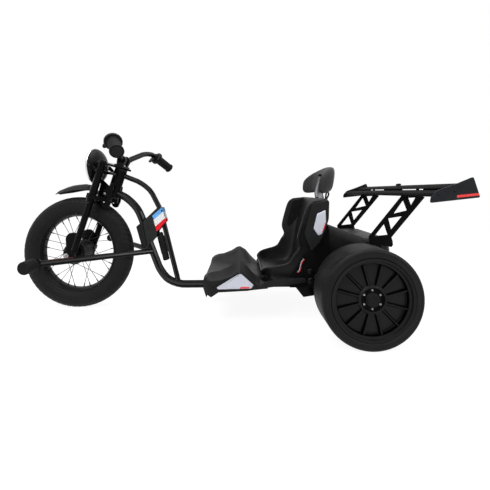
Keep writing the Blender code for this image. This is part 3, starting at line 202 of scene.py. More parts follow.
# %% Surfaces from arrays
def mm(*rows):
    """A table of places typed in millimetres, as metres."""
    return np.array(rows, float) / 1000


def outward_mesh(name, points, faces):
    """A mesh from arrays, with doubles merged and faces turned outwards."""
    mesh = bpy.data.meshes.new(name)
    mesh.from_pydata(np.asarray(points, float).reshape(-1, 3).tolist(), [], [list(f) for f in faces])
    shape = bmesh.new()
    shape.from_mesh(mesh)
    bmesh.ops.remove_doubles(shape, verts=shape.verts, dist=2e-6)
    bmesh.ops.recalc_face_normals(shape, faces=shape.faces)
    shape.to_mesh(mesh)
    shape.free()
    return mesh


def shown(name, mesh, finish, body, stands_for=None, slot=None):
    """Puts a mesh in the scene: its finish, the body it rides on, and the solid it stands for."""
    mesh.materials.append(getattr(finish, "material", finish))
    mesh.polygons.foreach_set("use_smooth", np.ones(len(mesh.polygons), bool))
    item = bpy.data.objects.new(name, mesh)
    bpy.context.scene.collection.objects.link(item)
    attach(item, body)
    if stands_for:
        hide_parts(stands_for)
    return item


def piece(name, points, faces, finish, body, smooth=40.0, **says):
    """A piece from arrays, with soft shading below the given angle."""
    item = shown(name, outward_mesh(name, points, faces), finish, body, **says)
    item.data.set_sharp_from_angle(angle=math.radians(smooth))
    return item


def grid_faces(rows, columns, close_rows=False, close_columns=False):
    """The four corner numbers of every cell of a grid whose points are numbered row by row."""
    i = np.arange(rows if close_rows else rows - 1)[:, None]
    j = np.arange(columns if close_columns else columns - 1)[None, :]
    k, m = (i + 1) % rows, (j + 1) % columns
    cells = np.stack([i * columns + j, i * columns + m, k * columns + m, k * columns + j], -1)
    return cells.reshape(-1, 4).tolist()


def directions(axis):
    """Two directions square to an axis and to each other."""
    axis = np.asarray(axis, float) / np.linalg.norm(axis)
    one = np.cross(axis, [0.0, 0.0, 1.0] if abs(axis[2]) < 0.9 else [1.0, 0.0, 0.0])
    one /= np.linalg.norm(one)
    return axis, one, np.cross(axis, one)


def turned_points(profile, centre, axis, turns, push=None):
    """A lathe shape: centre + axis * along + radius * (one * cos(turn) + other * sin(turn)).

    push changes the radius and the place along the axis by turn, for tread and ribs.
    """
    axis, one, other = directions(axis)
    radius, along = np.asarray(profile, float).T
    radius, along, turn = radius[None, :], along[None, :], turns[:, None]
    if push:
        radius, along = push(radius, along, turn)
    radius, along = radius + 0 * turn, along + 0 * turn
    ring = np.cos(turn)[..., None] * one + np.sin(turn)[..., None] * other
    return np.asarray(centre) + along[..., None] * axis + radius[..., None] * ring


def lathe(name, profile, centre, axis, finish, body, segments=96, loop=False, push=None, **says):
    """A turned piece; with loop the profile is a closed ring, and without it ends on the axis."""
    turns = np.linspace(0, math.tau, segments, endpoint=False)
    points = turned_points(profile, centre, axis, turns, push)
    faces = grid_faces(segments, len(profile), close_rows=True, close_columns=loop)
    return piece(name, points, faces, finish, body, **says)


def mirrored(profile):
    """The same radii on the other side of the middle, in the order that carries the profile on."""
    return np.asarray(profile)[::-1] * [1, -1]


def rounded(profile, loop=False, rounds=2):
    """A profile with its corners cut and cut again: points at a quarter and three quarters of each side."""
    line = np.asarray(profile, float)
    for _ in range(rounds):
        after = np.roll(line, -1, axis=0) if loop else line[1:]
        before = line if loop else line[:-1]
        cuts = np.stack([before * 0.75 + after * 0.25, before * 0.25 + after * 0.75], 1)
        cuts = cuts.reshape(-1, line.shape[1])
        line = cuts if loop else np.vstack([line[:1], cuts, line[-1:]])
    return line


def smooth_curve(knots, steps):
    """A curve through its knots: the Catmull-Rom blend of each four neighbours, worked out at once."""
    p = np.asarray(knots, float)
    p = np.vstack([2 * p[0] - p[1], p, 2 * p[-1] - p[-2]])
    t = np.linspace(0, 1, steps, endpoint=False)[None, :, None]
    a, b, c, d = (p[i:len(p) - 3 + i, None, :] for i in range(4))
    square, cube = 2 * a - 5 * b + 4 * c - d, 3 * b - a - 3 * c + d
    line = 0.5 * (2 * b + (c - a) * t + square * t**2 + cube * t**3)
    return np.vstack([line.reshape(-1, p.shape[1]), p[-2:-1]])


def swept_points(line, radius, sides):
    """Rings of points round a line: each ring is square to the line, and is carried on without twist."""
    line = np.asarray(line, float)
    run = np.gradient(line, axis=0)
    run /= np.linalg.norm(run, axis=1)[:, None]
    one = np.empty_like(run)
    one[0] = directions(run[0])[1]
    for i in range(1, len(run)):
        one[i] = one[i - 1] - run[i] * np.dot(one[i - 1], run[i])
        one[i] /= np.linalg.norm(one[i])
    other = np.cross(run, one)
    turn = np.linspace(0, math.tau, sides, endpoint=False)[None, :, None]
    return line[:, None] + radius * (np.cos(turn) * one[:, None] + np.sin(turn) * other[:, None])


def tube_faces(rows, columns):
    """The cells of a closed tube of rings, and a cap of one face at each end."""
    caps = [list(range(columns)), list(range((rows - 1) * columns, rows * columns))]
    return grid_faces(rows, columns, close_columns=True) + caps


def sweep(name, line, radius, finish, body, sides=20):
    """A round bar along a line."""
    return piece(name, swept_points(line, radius, sides), tube_faces(len(line), sides), finish, body, 50.0)


def gather(name, shapes, finish, body, **says):
    """Several closed grids as one piece; each shape is its points and its faces."""
    points, faces, start = [], [], 0
    for spots, cells in shapes:
        spots = np.asarray(spots, float).reshape(-1, 3)
        points.append(spots)
        faces += [[corner + start for corner in cell] for cell in cells]
        start += len(spots)
    return piece(name, np.vstack(points), faces, finish, body, **says)


def stub(profile, centre, axis, segments=12):
    """The points and faces of one small turned shape, for gather."""
    turns = np.linspace(0, math.tau, segments, endpoint=False)
    return turned_points(profile, centre, axis, turns), grid_faces(segments, len(profile), close_rows=True)


def sheet_prism(outline, base, across, up, depth):
    """A flat plate for gather: an outline in two directions, and the same outline a depth further out."""
    outline = np.asarray(outline, float)
    flat = np.asarray(base) + outline[:, :1] * np.asarray(across) + outline[:, 1:] * np.asarray(up)
    n = len(outline)
    walls = [[i, (i + 1) % n, n + (i + 1) % n, n + i] for i in range(n)]
    points = np.vstack([flat, flat + np.cross(across, up) * depth])
    return points, [list(range(n)), list(range(n, 2 * n)), *walls]


def side_plate(name, outline, side, inner, outer, finish, **says):
    """An upright plate on the frame: an outline in X and Z, between two distances to one side."""
    points, cells = sheet_prism(outline, (0, 0, 0), (1, 0, 0), (0, 0, 1), 1.0)
    points[:, 1] = side * np.where(np.arange(len(points)) < len(outline), inner, outer)
    return gather(name, [(points, cells)], finish, "frame", **says)


def edges(item, width, segments=2, least=35.0):
    """Rounds the corners that turn by more than least degrees."""
    bevel = item.modifiers.new("edges", "BEVEL")
    bevel.width, bevel.segments, bevel.angle_limit = width, segments, math.radians(least)
    return bevel


def applied(item):
    """Turns a piece's modifiers into its mesh."""
    graph = bpy.context.evaluated_depsgraph_get()
    result = bpy.data.meshes.new_from_object(item.evaluated_get(graph))
    item.modifiers.clear()
    item.data = result


print("helpers for turned, swept and gathered shapes")

# %% [markdown]
# ## Effects that the finishes share
# Real surfaces are never one even colour. Moulded plastic has a fine grain, paint has a slight orange
# peel, everything black gathers pale dust on top, and handling leaves patches that shine differently.
# Each effect is a node group that gives a mask or a height, so that every finish can use its own dose.


# %% Effects that the finishes share
def effect(name, inputs, outputs):
    """An empty node group with named sockets, and its two ends."""
    group = bpy.data.node_groups.new(name, "ShaderNodeTree")
    for word, default in inputs.items():
        kind = "NodeSocketVector" if isinstance(default, tuple) else "NodeSocketFloat"
        socket = group.interface.new_socket(name=word, in_out="INPUT", socket_type=kind)
        socket.default_value = default
    for word in outputs:
        group.interface.new_socket(name=word, in_out="OUTPUT", socket_type="NodeSocketFloat")
    return group, group.nodes.new("NodeGroupInput").outputs, group.nodes.new("NodeGroupOutput").inputs


def object_place(tree):
    """Each point's place in the tricycle."""
    return node(tree, "TexCoord").outputs["Object"]


def xyz(tree, direction):
    """The three numbers of a place or a direction."""
    return node(tree, "SeparateXYZ", {0: direction}).outputs


def vector(tree, operation, values, output=0):
    """One Vector Math node's result."""
    return node(tree, "VectorMath", values, operation=operation).outputs[output]


def noise(tree, place, scale, detail=3.0, roughness=0.55):
    """A noise texture's value at a place."""
    return node(tree, "TexNoise", {"Vector": place, "Scale": scale, "Detail": detail,
                                   "Roughness": roughness}).outputs[0]


def ramp(tree, value, low, high, to_low=0.0, to_high=1.0):
    """A value mapped from one range to another, and held inside it."""
    return node(tree, "MapRange", {0: value, 1: low, 2: high, 3: to_low, 4: to_high}).outputs[0]


def band(tree, value, rise, full, fall, end):
    """1 from full to fall, 0 before rise and after end, and straight slopes between."""
    return maths(tree, "MULTIPLY", ramp(tree, value, rise, full), ramp(tree, value, fall, end, 1.0, 0.0))


grain, given, gives = effect("grain", {"Grain size": 0.0008, "Patch size": 0.03}, ["Height", "Patches"])
place = object_place(grain)
per_grain = maths(grain, "DIVIDE", 1.0, given["Grain size"])
cells = node(grain, "TexVoronoi", {"Vector": place, "Scale": per_grain}).outputs["Distance"]
speckle = noise(grain, place, maths(grain, "MULTIPLY", per_grain, 1.7))
bumps = maths(grain, "MULTIPLY_ADD", speckle, 0.5, maths(grain, "MULTIPLY", cells, 0.6))
patches = noise(grain, place, maths(grain, "DIVIDE", 1.0, given["Patch size"]), 4.0)
grain.links.new(bumps, gives["Height"])
grain.links.new(patches, gives["Patches"])

dust, given, gives = effect("settled_dust", {"Amount": 0.3, "Speck size": 0.004}, ["Mask"])
lift = xyz(dust, node(dust, "NewGeometry").outputs["Normal"])["Z"]
facing_up = maths(dust, "POWER", maths(dust, "MAXIMUM", lift, 0.0), 2.0)
place = object_place(dust)
veil = ramp(dust, noise(dust, place, 22.0, 5.0), 0.35, 0.75)
specks = noise(dust, place, maths(dust, "DIVIDE", 1.0, given["Speck size"]), 2.0)
specks = ramp(dust, specks, 0.62, 0.74)
lying = maths(dust, "MULTIPLY", facing_up, maths(dust, "MULTIPLY_ADD", specks, 0.5, veil))
dust.links.new(maths(dust, "MULTIPLY", lying, given["Amount"], clamp=True), gives["Mask"])

scuffs, given, gives = effect("scuffs", {"Amount": 0.3, "Stretch": (1.0, 1.0, 9.0)}, ["Mask"])
drawn = vector(scuffs, "MULTIPLY", {0: object_place(scuffs), 1: given["Stretch"]})
lines = ramp(scuffs, noise(scuffs, drawn, 60.0, 6.0, 0.7), 0.58, 0.72)
scuffs.links.new(maths(scuffs, "MULTIPLY", lines, given["Amount"], clamp=True), gives["Mask"])

round_axle, given, gives = effect("round_an_axle", {"Centre": (0.0, 0.0, 0.0), "Axis": (0.0, 1.0, 0.0)},
                                  ["Radius"])
offset = vector(round_axle, "SUBTRACT", {0: object_place(round_axle), 1: given["Centre"]})
along = vector(round_axle, "DOT_PRODUCT", {0: offset, 1: given["Axis"]}, "Value")
on_axis = vector(round_axle, "SCALE", {0: given["Axis"], "Scale": along})
outward = vector(round_axle, "SUBTRACT", {0: offset, 1: on_axis})
round_axle.links.new(vector(round_axle, "LENGTH", {0: outward}, "Value"), gives["Radius"])
print("effects:", [group.name for group in bpy.data.node_groups])

# %% [markdown]
# ## One recipe for most finishes
# A finish starts as a plain colour. Patches shift the colour and the gloss a little, dust lightens what
# faces up, scuffs roughen it, and the grain raises it. Other colours can be laid over it afterwards, for
# stripes, rings, painted highlights and painted shade.


# %% One recipe for most finishes
def use(tree, group, **values):
    """Places an effect in a finish with its own values, named as its sockets with _ for each space."""
    return node(tree, "Group", {key.replace("_", " "): value for key, value in values.items()},
                node_tree=group).outputs


def blend(tree, share, first, second):
    """A colour mixed from two by a share."""
    return node(tree, "Mix", {0: share, 6: first, 7: second}, data_type="RGBA").outputs[2]


class Finish:
    """A material with its node tree, its Principled shader and the colour and height that feed it."""

    def __init__(self, name, colour, gloss, metal=0.0, grain_size=0.0008, depth=0.00004, patch=0.03,
                 shift=0.25, dusty=0.25, scuffed=0.15, stretch=(1.0, 1.0, 9.0), shine=0.5, coat=(0.0, 0.03)):
        self.material = bpy.data.materials.new(name)
        self.material.use_nodes = True
        self.tree = tree = self.material.node_tree
        tree.nodes.clear()
        self.shader = node(tree, "BsdfPrincipled", {"Metallic": metal, "Specular IOR Level": shine,
                                                    "Coat Weight": coat[0], "Coat Roughness": coat[1]})
        tree.links.new(self.shader.outputs[0], node(tree, "OutputMaterial").inputs[0])
        grained = use(tree, grain, Grain_size=grain_size, Patch_size=patch)
        lying = use(tree, dust, Amount=dusty)["Mask"]
        worn = use(tree, scuffs, Amount=scuffed, Stretch=stretch)["Mask"]
        shade = ramp(tree, grained["Patches"], 0.3, 0.7)
        dark, light = (tuple(v * much for v in colour) + (1.0,) for much in (1 - shift, 1 + shift))
        self.colour = blend(tree, shade, dark, light)
        self.paint(lying, (0.16, 0.155, 0.15))
        self.height = grained["Height"]
        self.bump = node(tree, "Bump", {"Strength": 1.0, "Distance": depth, "Height": self.height})
        tree.links.new(self.bump.outputs[0], self.shader.inputs["Normal"])
        gloss_patch = maths(tree, "MULTIPLY_ADD", shade, 0.08, gloss - 0.04)
        rough = maths(tree, "MULTIPLY_ADD", worn, 0.22, gloss_patch)
        rough = maths(tree, "MULTIPLY_ADD", lying, 0.3, rough, clamp=True)
        tree.links.new(rough, self.shader.inputs["Roughness"])

    def paint(self, share, colour):
        """Lays a colour over the finish by a share."""
        self.colour = blend(self.tree, share, self.colour, (*colour, 1.0))
        self.tree.links.new(self.colour, self.shader.inputs["Base Color"])

    def shine(self, share, low, high):
        """Moves the specular level from low to high with a share."""
        level = ramp(self.tree, share, 0.0, 1.0, low, high)
        self.tree.links.new(level, self.shader.inputs["Specular IOR Level"])


print("one recipe")

# %% [markdown]
# ## The finishes
# Nearly everything is black, so the finishes differ in gloss, grain and shine. The black paint also
# carries two long painted highlights, streaks as from strip lamps: a white room alone would leave every
# tube one flat grey. The painted streaks lie where the surface leans a little up or a little ahead. The
# post's metal has painted shade towards its edges and towards its top, where it runs into the pad's
# channel. The headrest's skin has large leathery cells.


# %% The finishes
def painted_highlight_streaks(made, glow, low, high):
    """Paints a highlight into a finish where its normal leans a little up or a little ahead, and raises its
    shine there.
    """
    tree = made.tree
    normal = xyz(tree, node(tree, "NewGeometry").outputs["Normal"])
    over = band(tree, normal["Z"], 0.10, 0.22, 0.26, 0.38)
    ahead = band(tree, normal["X"], -0.38, -0.26, -0.22, -0.10)
    lit = maths(tree, "MAXIMUM", over, ahead)
    # Painted highlight: a pale grey and more shine where the normal falls in either band.
    made.paint(lit, (glow, glow, glow))
    made.shine(lit, low, high)


PAINT = Finish("satin_black_paint", (0.0035, 0.0035, 0.0038), 0.19, grain_size=0.0016, depth=0.000006,
               dusty=0.05, scuffed=0.2)
painted_highlight_streaks(PAINT, 0.030, 0.05, 0.16)
PLASTIC = Finish("moulded_black_plastic", (0.0062, 0.0063, 0.0065), 0.46, grain_size=0.0009,
                 dusty=0.10, scuffed=0.25, shine=0.17)
GLOSSY = Finish("smooth_black_plastic", (0.0060, 0.0060, 0.0062), 0.36, grain_size=0.0012, depth=0.00002,
                dusty=0.06, scuffed=0.2, shine=0.13)
MATTE = Finish("matte_black_blade", (0.0045, 0.0045, 0.0048), 0.68, grain_size=0.0012,
               dusty=0.02, scuffed=0.25, shine=0.03)
RUBBER = Finish("soft_grip_rubber", (0.0085, 0.0085, 0.0088), 0.66, grain_size=0.0006, depth=0.00008,
                dusty=0.10, scuffed=0.3, shine=0.10)
CAST = Finish("black_casting", (0.0045, 0.0045, 0.0052), 0.38, 0.1, grain_size=0.0007, depth=0.00006,
              dusty=0.06, scuffed=0.3, shine=0.13)
SLATE = Finish("dark_slate_panel", (0.0075, 0.0085, 0.0110), 0.38, grain_size=0.0009, depth=0.00002,
               dusty=0.06, scuffed=0.2, shine=0.14)
CASE = Finish("battery_case_plastic", (0.0060, 0.0060, 0.0072), 0.42, grain_size=0.0009, depth=0.00005,
              dusty=0.08, scuffed=0.2, shine=0.15)
SKIN = Finish("headrest_skin", (0.0140, 0.0140, 0.0145), 0.52, grain_size=0.0022, depth=0.00016,
              patch=0.02, dusty=0.10, scuffed=0.2, shine=0.22)
SKIN.shader.inputs["Sheen Weight"].default_value = 0.05
STEEL = Finish("zinc_plated_steel", (0.42, 0.42, 0.43), 0.34, 1.0, grain_size=0.0005, depth=0.00001,
               shift=0.12, dusty=0.1, scuffed=0.5)
DARK_STEEL = Finish("blackened_steel", (0.020, 0.020, 0.022), 0.36, 0.9, grain_size=0.0006,
                    depth=0.00002, shift=0.2, dusty=0.1, scuffed=0.4)
CHROME = Finish("polished_chrome", (0.66, 0.66, 0.68), 0.12, 1.0, grain_size=0.002, depth=0.000004,
                shift=0.05, dusty=0.03, scuffed=0.25)
REFLECTOR = Finish("lamp_reflector", (0.86, 0.87, 0.88), 0.14, 1.0, grain_size=0.003, depth=0.00002,
                   shift=0.04, dusty=0.02, scuffed=0.1)
POST_METAL = Finish("brushed_post_metal", (0.30, 0.30, 0.32), 0.26, 1.0, grain_size=0.002,
                    depth=0.000004, shift=0.05, dusty=0.03, scuffed=0.25, stretch=(9.0, 9.0, 1.0))
tree = POST_METAL.tree
# Painted reflection: the post darkens towards its edges, as if they mirrored darker surroundings.
turned_away = node(tree, "LayerWeight", {"Blend": 0.5}).outputs["Facing"]
POST_METAL.paint(ramp(tree, turned_away, 0.02, 0.40), (0.035, 0.035, 0.040))
# Painted shade: darker towards the top, where the post runs up into the pad's channel.
painted_channel_shade = ramp(tree, xyz(tree, object_place(tree))["Z"], 0.462, 0.520, 0.0, 0.9)
POST_METAL.paint(painted_channel_shade, (0.060, 0.060, 0.065))
FILM = Finish("silver_lilac_film", (0.58, 0.60, 0.68), 0.34, 0.05, grain_size=0.0007, depth=0.00001,
              shift=0.03, dusty=0.05, scuffed=0.2, coat=(0.3, 0.15))
RED = Finish("red_marking", (0.80, 0.020, 0.022), 0.38, grain_size=0.001, depth=0.00001, shift=0.05,
             dusty=0.05, scuffed=0.1, coat=(0.3, 0.2))
DEEP_RED = Finish("dark_red_line", (0.10, 0.004, 0.007), 0.4, grain_size=0.001, depth=0.00001,
                  shift=0.1, dusty=0.05, scuffed=0.1, shine=0.2)
print("finishes:", [m.name for m in bpy.data.materials])

# %% [markdown]
# ## Tyre rubber
# Tyres are the same black as the grips, but dust sits in their rings. The rings follow the axle, so the
# finish measures each point's distance from it, and draws fine mould lines at even steps of that
# distance. The front wheel and the rear pair have a material each, because each axle has its own place.


# %% Tyre rubber
def tyre_finish(name, centre, axis, base, step, first, last):
    """Rubber with rings: the height dips where the distance from the axle is a whole number of steps."""
    made = Finish(name, base, 0.52, grain_size=0.0010, depth=0.00008, patch=0.05, shift=0.3,
                  dusty=0.08, scuffed=0.25, stretch=(1.0, 4.0, 1.0), shine=0.12)
    tree = made.tree
    radius = use(tree, round_axle, Centre=tuple(centre), Axis=tuple(axis))["Radius"]
    saw = maths(tree, "PINGPONG", maths(tree, "DIVIDE", radius, step), 0.5)
    line = maths(tree, "SUBTRACT", 1.0, ramp(tree, saw, 0.0, 0.16))
    dip = maths(tree, "MULTIPLY", line, band(tree, radius, first, first + 0.001, last - 0.001, last))
    tree.links.new(maths(tree, "MULTIPLY_ADD", dip, -3.0, made.height), made.bump.inputs["Height"])
    made.paint(maths(tree, "MULTIPLY", dip, 0.5), (0.016, 0.016, 0.015))
    return made.material


FRONT_RUBBER = tyre_finish("front_tyre_rubber", FRONT_AXLE, ACROSS, (0.0080, 0.0080, 0.0083), 0.0042,
                           0.160, 0.186)
REAR_RUBBER = tyre_finish("rear_sleeve_rubber", REAR_AXLE, (0, 1, 0), (0.0092, 0.0093, 0.0093), 0.0050,
                          0.124, 0.139)
print("two tyre finishes")

# %% [markdown]
# ## Lens
# The headlight is a clear ribbed lens over a bright bowl. The lens is real glass to the renderer: clear,
# smooth, and it bends light. Upright ribs on it are a wave in its height.

# %% Lens
LENS = bpy.data.materials.new("clear_lamp_lens")
LENS.use_nodes = True
tree = LENS.node_tree
tree.nodes.clear()
glass = node(tree, "BsdfPrincipled", {"Base Color": (0.93, 0.95, 0.97, 1), "Roughness": 0.06, "IOR": 1.49,
                                      "Transmission Weight": 0.9})
tree.links.new(glass.outputs[0], node(tree, "OutputMaterial").inputs[0])
flutes = node(tree, "TexWave", {"Vector": object_place(tree), "Scale": 36.0},
              bands_direction="Y", wave_profile="SIN").outputs["Color"]
bump = node(tree, "Bump", {"Distance": 0.0006, "Height": flutes})
tree.links.new(bump.outputs[0], glass.inputs["Normal"])
print("lens")

# %% [markdown]
# ## Stripes on the side plates
# The plate on the tubes carries three slanting bands, light blue, white and red, at its upper rear
# corner. They could be stickers of their own, but a stripe is only a range of one slanting coordinate,
# so the plate's finish can paint it: the band is where the point times the stripe's normal lies between
# two lengths, behind a slanting end line.

# %% Stripes on the side plates
STRIPED = Finish("striped_slate_plate", (0.0150, 0.0155, 0.0165), 0.4, grain_size=0.0009, depth=0.00002,
                 dusty=0.06, scuffed=0.2, shine=0.16)
SOFT = 0.0001
tree = STRIPED.tree
slant, to_rear = (vector(tree, "DOT_PRODUCT", {0: object_place(tree), 1: direction}, "Value")
                  for direction in ((-0.6585, 0.0, 0.7526), (0.963, 0.0, 0.2695)))
behind = ramp(tree, to_rear, -0.1432, -0.1430)
for low, high, stripe in ((0.4187, 0.4347, (0.15, 0.44, 0.90)), (0.3952, 0.4187, (0.86, 0.87, 0.88)),
                          (0.3777, 0.3952, (0.80, 0.012, 0.018))):
    within = band(tree, slant, low - SOFT, low + SOFT, high - SOFT, high + SOFT)
    STRIPED.paint(maths(tree, "MULTIPLY", within, behind), stripe)
print("three bands at the plate's corner")

# %% [markdown]
# ## Finishes on the solids
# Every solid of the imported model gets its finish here. Each one keeps its shape; only its material slot
# is filled.

# %% Finishes on the solids
WEARS = {
    PAINT: "head_tube top_clamp fork_crown fork_leg_left fork_leg_right handlebar lamp_bracket "
           "headlight_shell front_rim main_tube upper_tube peg_bar_left peg_bar_right body_mount seat_mount "
           "headrest_guide axle_housing subframe strut_left strut_right",
    PLASTIC: "front_fender throttle_paddle brake_paddle controller_box floor_body seat_shell rear_cowl "
             "wing rear_rim_left rear_rim_right",
    RUBBER: "grip_left grip_right foot_peg_left foot_peg_right",
    STEEL: "front_axle rear_axle",
    DARK_STEEL: "front_spokes rear_hub_cap_left rear_hub_cap_right headset steerer",
    CAST: "bar_clamp brake_housing throttle_housing hub_motor canister",
    POST_METAL: "headrest_post", SLATE: "wing_end_left wing_end_right",
    STRIPED: "side_plate_left side_plate_right", FILM: "side_panel_left side_panel_right",
    CASE: "battery_pack", SKIN: "headrest_pad", LENS: "headlight_lens", FRONT_RUBBER: "front_tyre",
    REAR_RUBBER: "rear_tyre_left rear_tyre_right",
}
for finish, names in WEARS.items():
    for name in names.split():
        slots = NODES[name].data.materials
        slots.clear()
        slots.append(getattr(finish, "material", finish))
plain_slots = {entry["slot"] for entry in RECORD["materials"]}
bare = [name for name, item in NODES.items() if item.data.materials[0].name in plain_slots]
print("solids still bare:", bare)

# %% [markdown]
# ## Rear tyres
# The rear wheels wear wide, nearly slick sleeves. The solid has 32 flat sides; a smooth turned shape of
# the same size stands for it, with a groove round each shoulder and a raised bead beside the rim. The
# profile is closed: bead, side wall, shoulder, groove and tread, and the same mirrored.

# %% Rear tyres
REAR_RADIUS, REAR_HALF, REAR_SEAT, TYRE_SIDES = REAR_AXLE[2], 0.0525, 0.1208, 160
REAR_MIDDLE = 0.2175 + REAR_HALF
wall = np.vstack([
    mm((0, -3), (2.2, -0.4), (5.8, 0), (6.2, -0.9)) + [REAR_SEAT, REAR_HALF],
    mm((-10.5, -0.9), (-9.8, -0.1), (-7.5, -0.2), (-4.2, -1.8), (-1.6, -4.8), (-0.3, -8.5), (0, -12),
       (-0.1, -13.6), (-1.6, -14), (-1.6, -15.6), (-0.1, -16)) + [REAR_RADIUS, REAR_HALF],
    [(REAR_RADIUS, REAR_HALF * 0.5), (REAR_RADIUS, REAR_HALF * 0.25)]])
profile = np.vstack([wall, [(REAR_RADIUS, 0.0)], mirrored(wall)])
for side, word in SIDES:
    centre = rear(0, side * REAR_MIDDLE, REAR_RADIUS)
    lathe("rear_sleeve_" + word, profile, centre, (0, side, 0), REAR_RUBBER, "rear_wheel_" + word,
          TYRE_SIDES, loop=True, smooth=28.0, stands_for="rear_tyre_" + word, slot="tyre")
print("rear tyres with", TYRE_SIDES, "sides")

# %% [markdown]
# ## Rear wheels
# Each wheel is one plastic moulding: a barrel, and a face of twelve wedge panels between thin ribs. The
# face is a turned profile whose panels sink: the depth is a product of two smooth steps, one over the
# radius and one over the distance from the nearest rib. Shade is painted into the corners of the panels:
# the finish measures the same distance and loses colour and shine beside the ribs and at the panels'
# outer ends.

# %% Rear wheels
RIM_RADIUS, PANELS, RIB_HALF, WHEEL_SIDES = 0.1205, 12, 0.0026, 360
HUB_FACE, WHEEL_FACE = REAR_HALF - 0.016, REAR_HALF - 0.010


def step(value, low, high):
    """0 below low, 1 above high, and a smooth S between."""
    share = np.clip((value - low) / (high - low), 0.0, 1.0)
    return share * share * (3 - 2 * share)


def sunk_panels(radius, along, turn):
    """Pushes the face of the wheel in between its ribs, deeper towards the rim."""
    pitch = math.tau / PANELS
    away = np.abs(turn % pitch - pitch / 2) * radius
    inside = step(away, RIB_HALF - 0.0008, RIB_HALF + 0.0012)
    ring = step(radius, 0.0405, 0.0435) * step(radius, RIM_RADIUS - 0.0170, RIM_RADIUS - 0.0195)
    deep = 0.0052 + 0.0044 * (radius - 0.042) / 0.06
    crest = 0.0007 * (1 - step(away, 0.0, RIB_HALF))
    return radius, along - (deep * inside - crest) * ring * (along > 0.030)


def painted_shade_wheel_finish():
    """Wheel plastic with painted shade beside the ribs and at the panels' outer ends: the turn about the
    axle, folded into one panel.
    """
    made = Finish("creased_wheel_plastic", (0.0060, 0.0060, 0.0062), 0.36, grain_size=0.0012, depth=0.00002,
                  dusty=0.06, scuffed=0.2)
    tree = made.tree
    radius = use(tree, round_axle, Centre=tuple(REAR_AXLE), Axis=(0.0, 1.0, 0.0))["Radius"]
    place = xyz(tree, object_place(tree))
    turn = maths(tree, "ARCTAN2", maths(tree, "SUBTRACT", place["Z"], REAR_AXLE[2]),
                 maths(tree, "SUBTRACT", place["X"], REAR_AXLE[0]))
    half_pitch = math.pi / PANELS
    folded = maths(tree, "SUBTRACT", half_pitch, maths(tree, "PINGPONG", turn, half_pitch))
    away = maths(tree, "MULTIPLY", folded, radius)
    beside = band(tree, away, *(RIB_HALF + mm(-1.2, -0.4, 1.6, 3.4)))
    on_face = band(tree, radius, 0.0405, 0.0420, RIM_RADIUS - 0.0175, RIM_RADIUS - 0.0165)
    end = band(tree, radius, *(RIM_RADIUS - mm(20.5, 19.0, 16.8, 16.0)))
    # Painted shade: darker and less shiny beside the ribs and at the panels' outer ends.
    painted_shade = maths(tree, "MAXIMUM", maths(tree, "MULTIPLY", beside, on_face), end)
    made.paint(painted_shade, (0.0012, 0.0012, 0.0012))
    made.shine(painted_shade, 0.13, 0.015)
    return made


radii = np.linspace(0.0400, RIM_RADIUS - 0.0160, 46)
moulding = np.vstack([
    mm((10.8, 0), (32, 0), (33.3, 0.6)) + [0, HUB_FACE],
    mm((33.5, 0.6), (34.3, 1.8), (37.5, 1.8), (39, 0.4)) + [0, WHEEL_FACE],
    np.column_stack([radii, WHEEL_FACE + 0.0004 * (1 - (radii - 0.04) / 0.07)]),
    mm((-15, 0.1), (-11.2, 0.4), (-10, 1.2)) + [RIM_RADIUS, WHEEL_FACE],
    mm((-7.8, -3.6), (-6.2, -2.6), (-3.8, -1.8), (-1.2, -2), (-0.1, -3.4)) + [RIM_RADIUS, REAR_HALF],
    mm((-0.1, 3.5), (-4, 3), (-10, 20)) + [RIM_RADIUS, -REAR_HALF],
    [(RIM_RADIUS - 0.0122, WHEEL_FACE - 0.0130), (0.0380, WHEEL_FACE - 0.0130), (0.0370, HUB_FACE - 0.010),
     (0.0170, HUB_FACE - 0.012), (0.0170, -REAR_HALF), (0.0108, -REAR_HALF)]])
WHEEL = painted_shade_wheel_finish()
for side, word in SIDES:
    lathe("panel_wheel_" + word, moulding, rear(0, side * REAR_MIDDLE, REAR_RADIUS), (0, side, 0), WHEEL,
          "rear_wheel_" + word, WHEEL_SIDES, loop=True, push=sunk_panels, smooth=32.0,
          stands_for="rear_rim_" + word, slot="black_plastic")
print("wheels with", PANELS, "panels")

# %% [markdown]
# ## Hub caps and their bolts
# A matte plate with a stepped dome closes each hub, held by six bolts in a ring. The bolts are bare
# metal, so they are pieces of their own, with a washer, a rounded head and a socket.

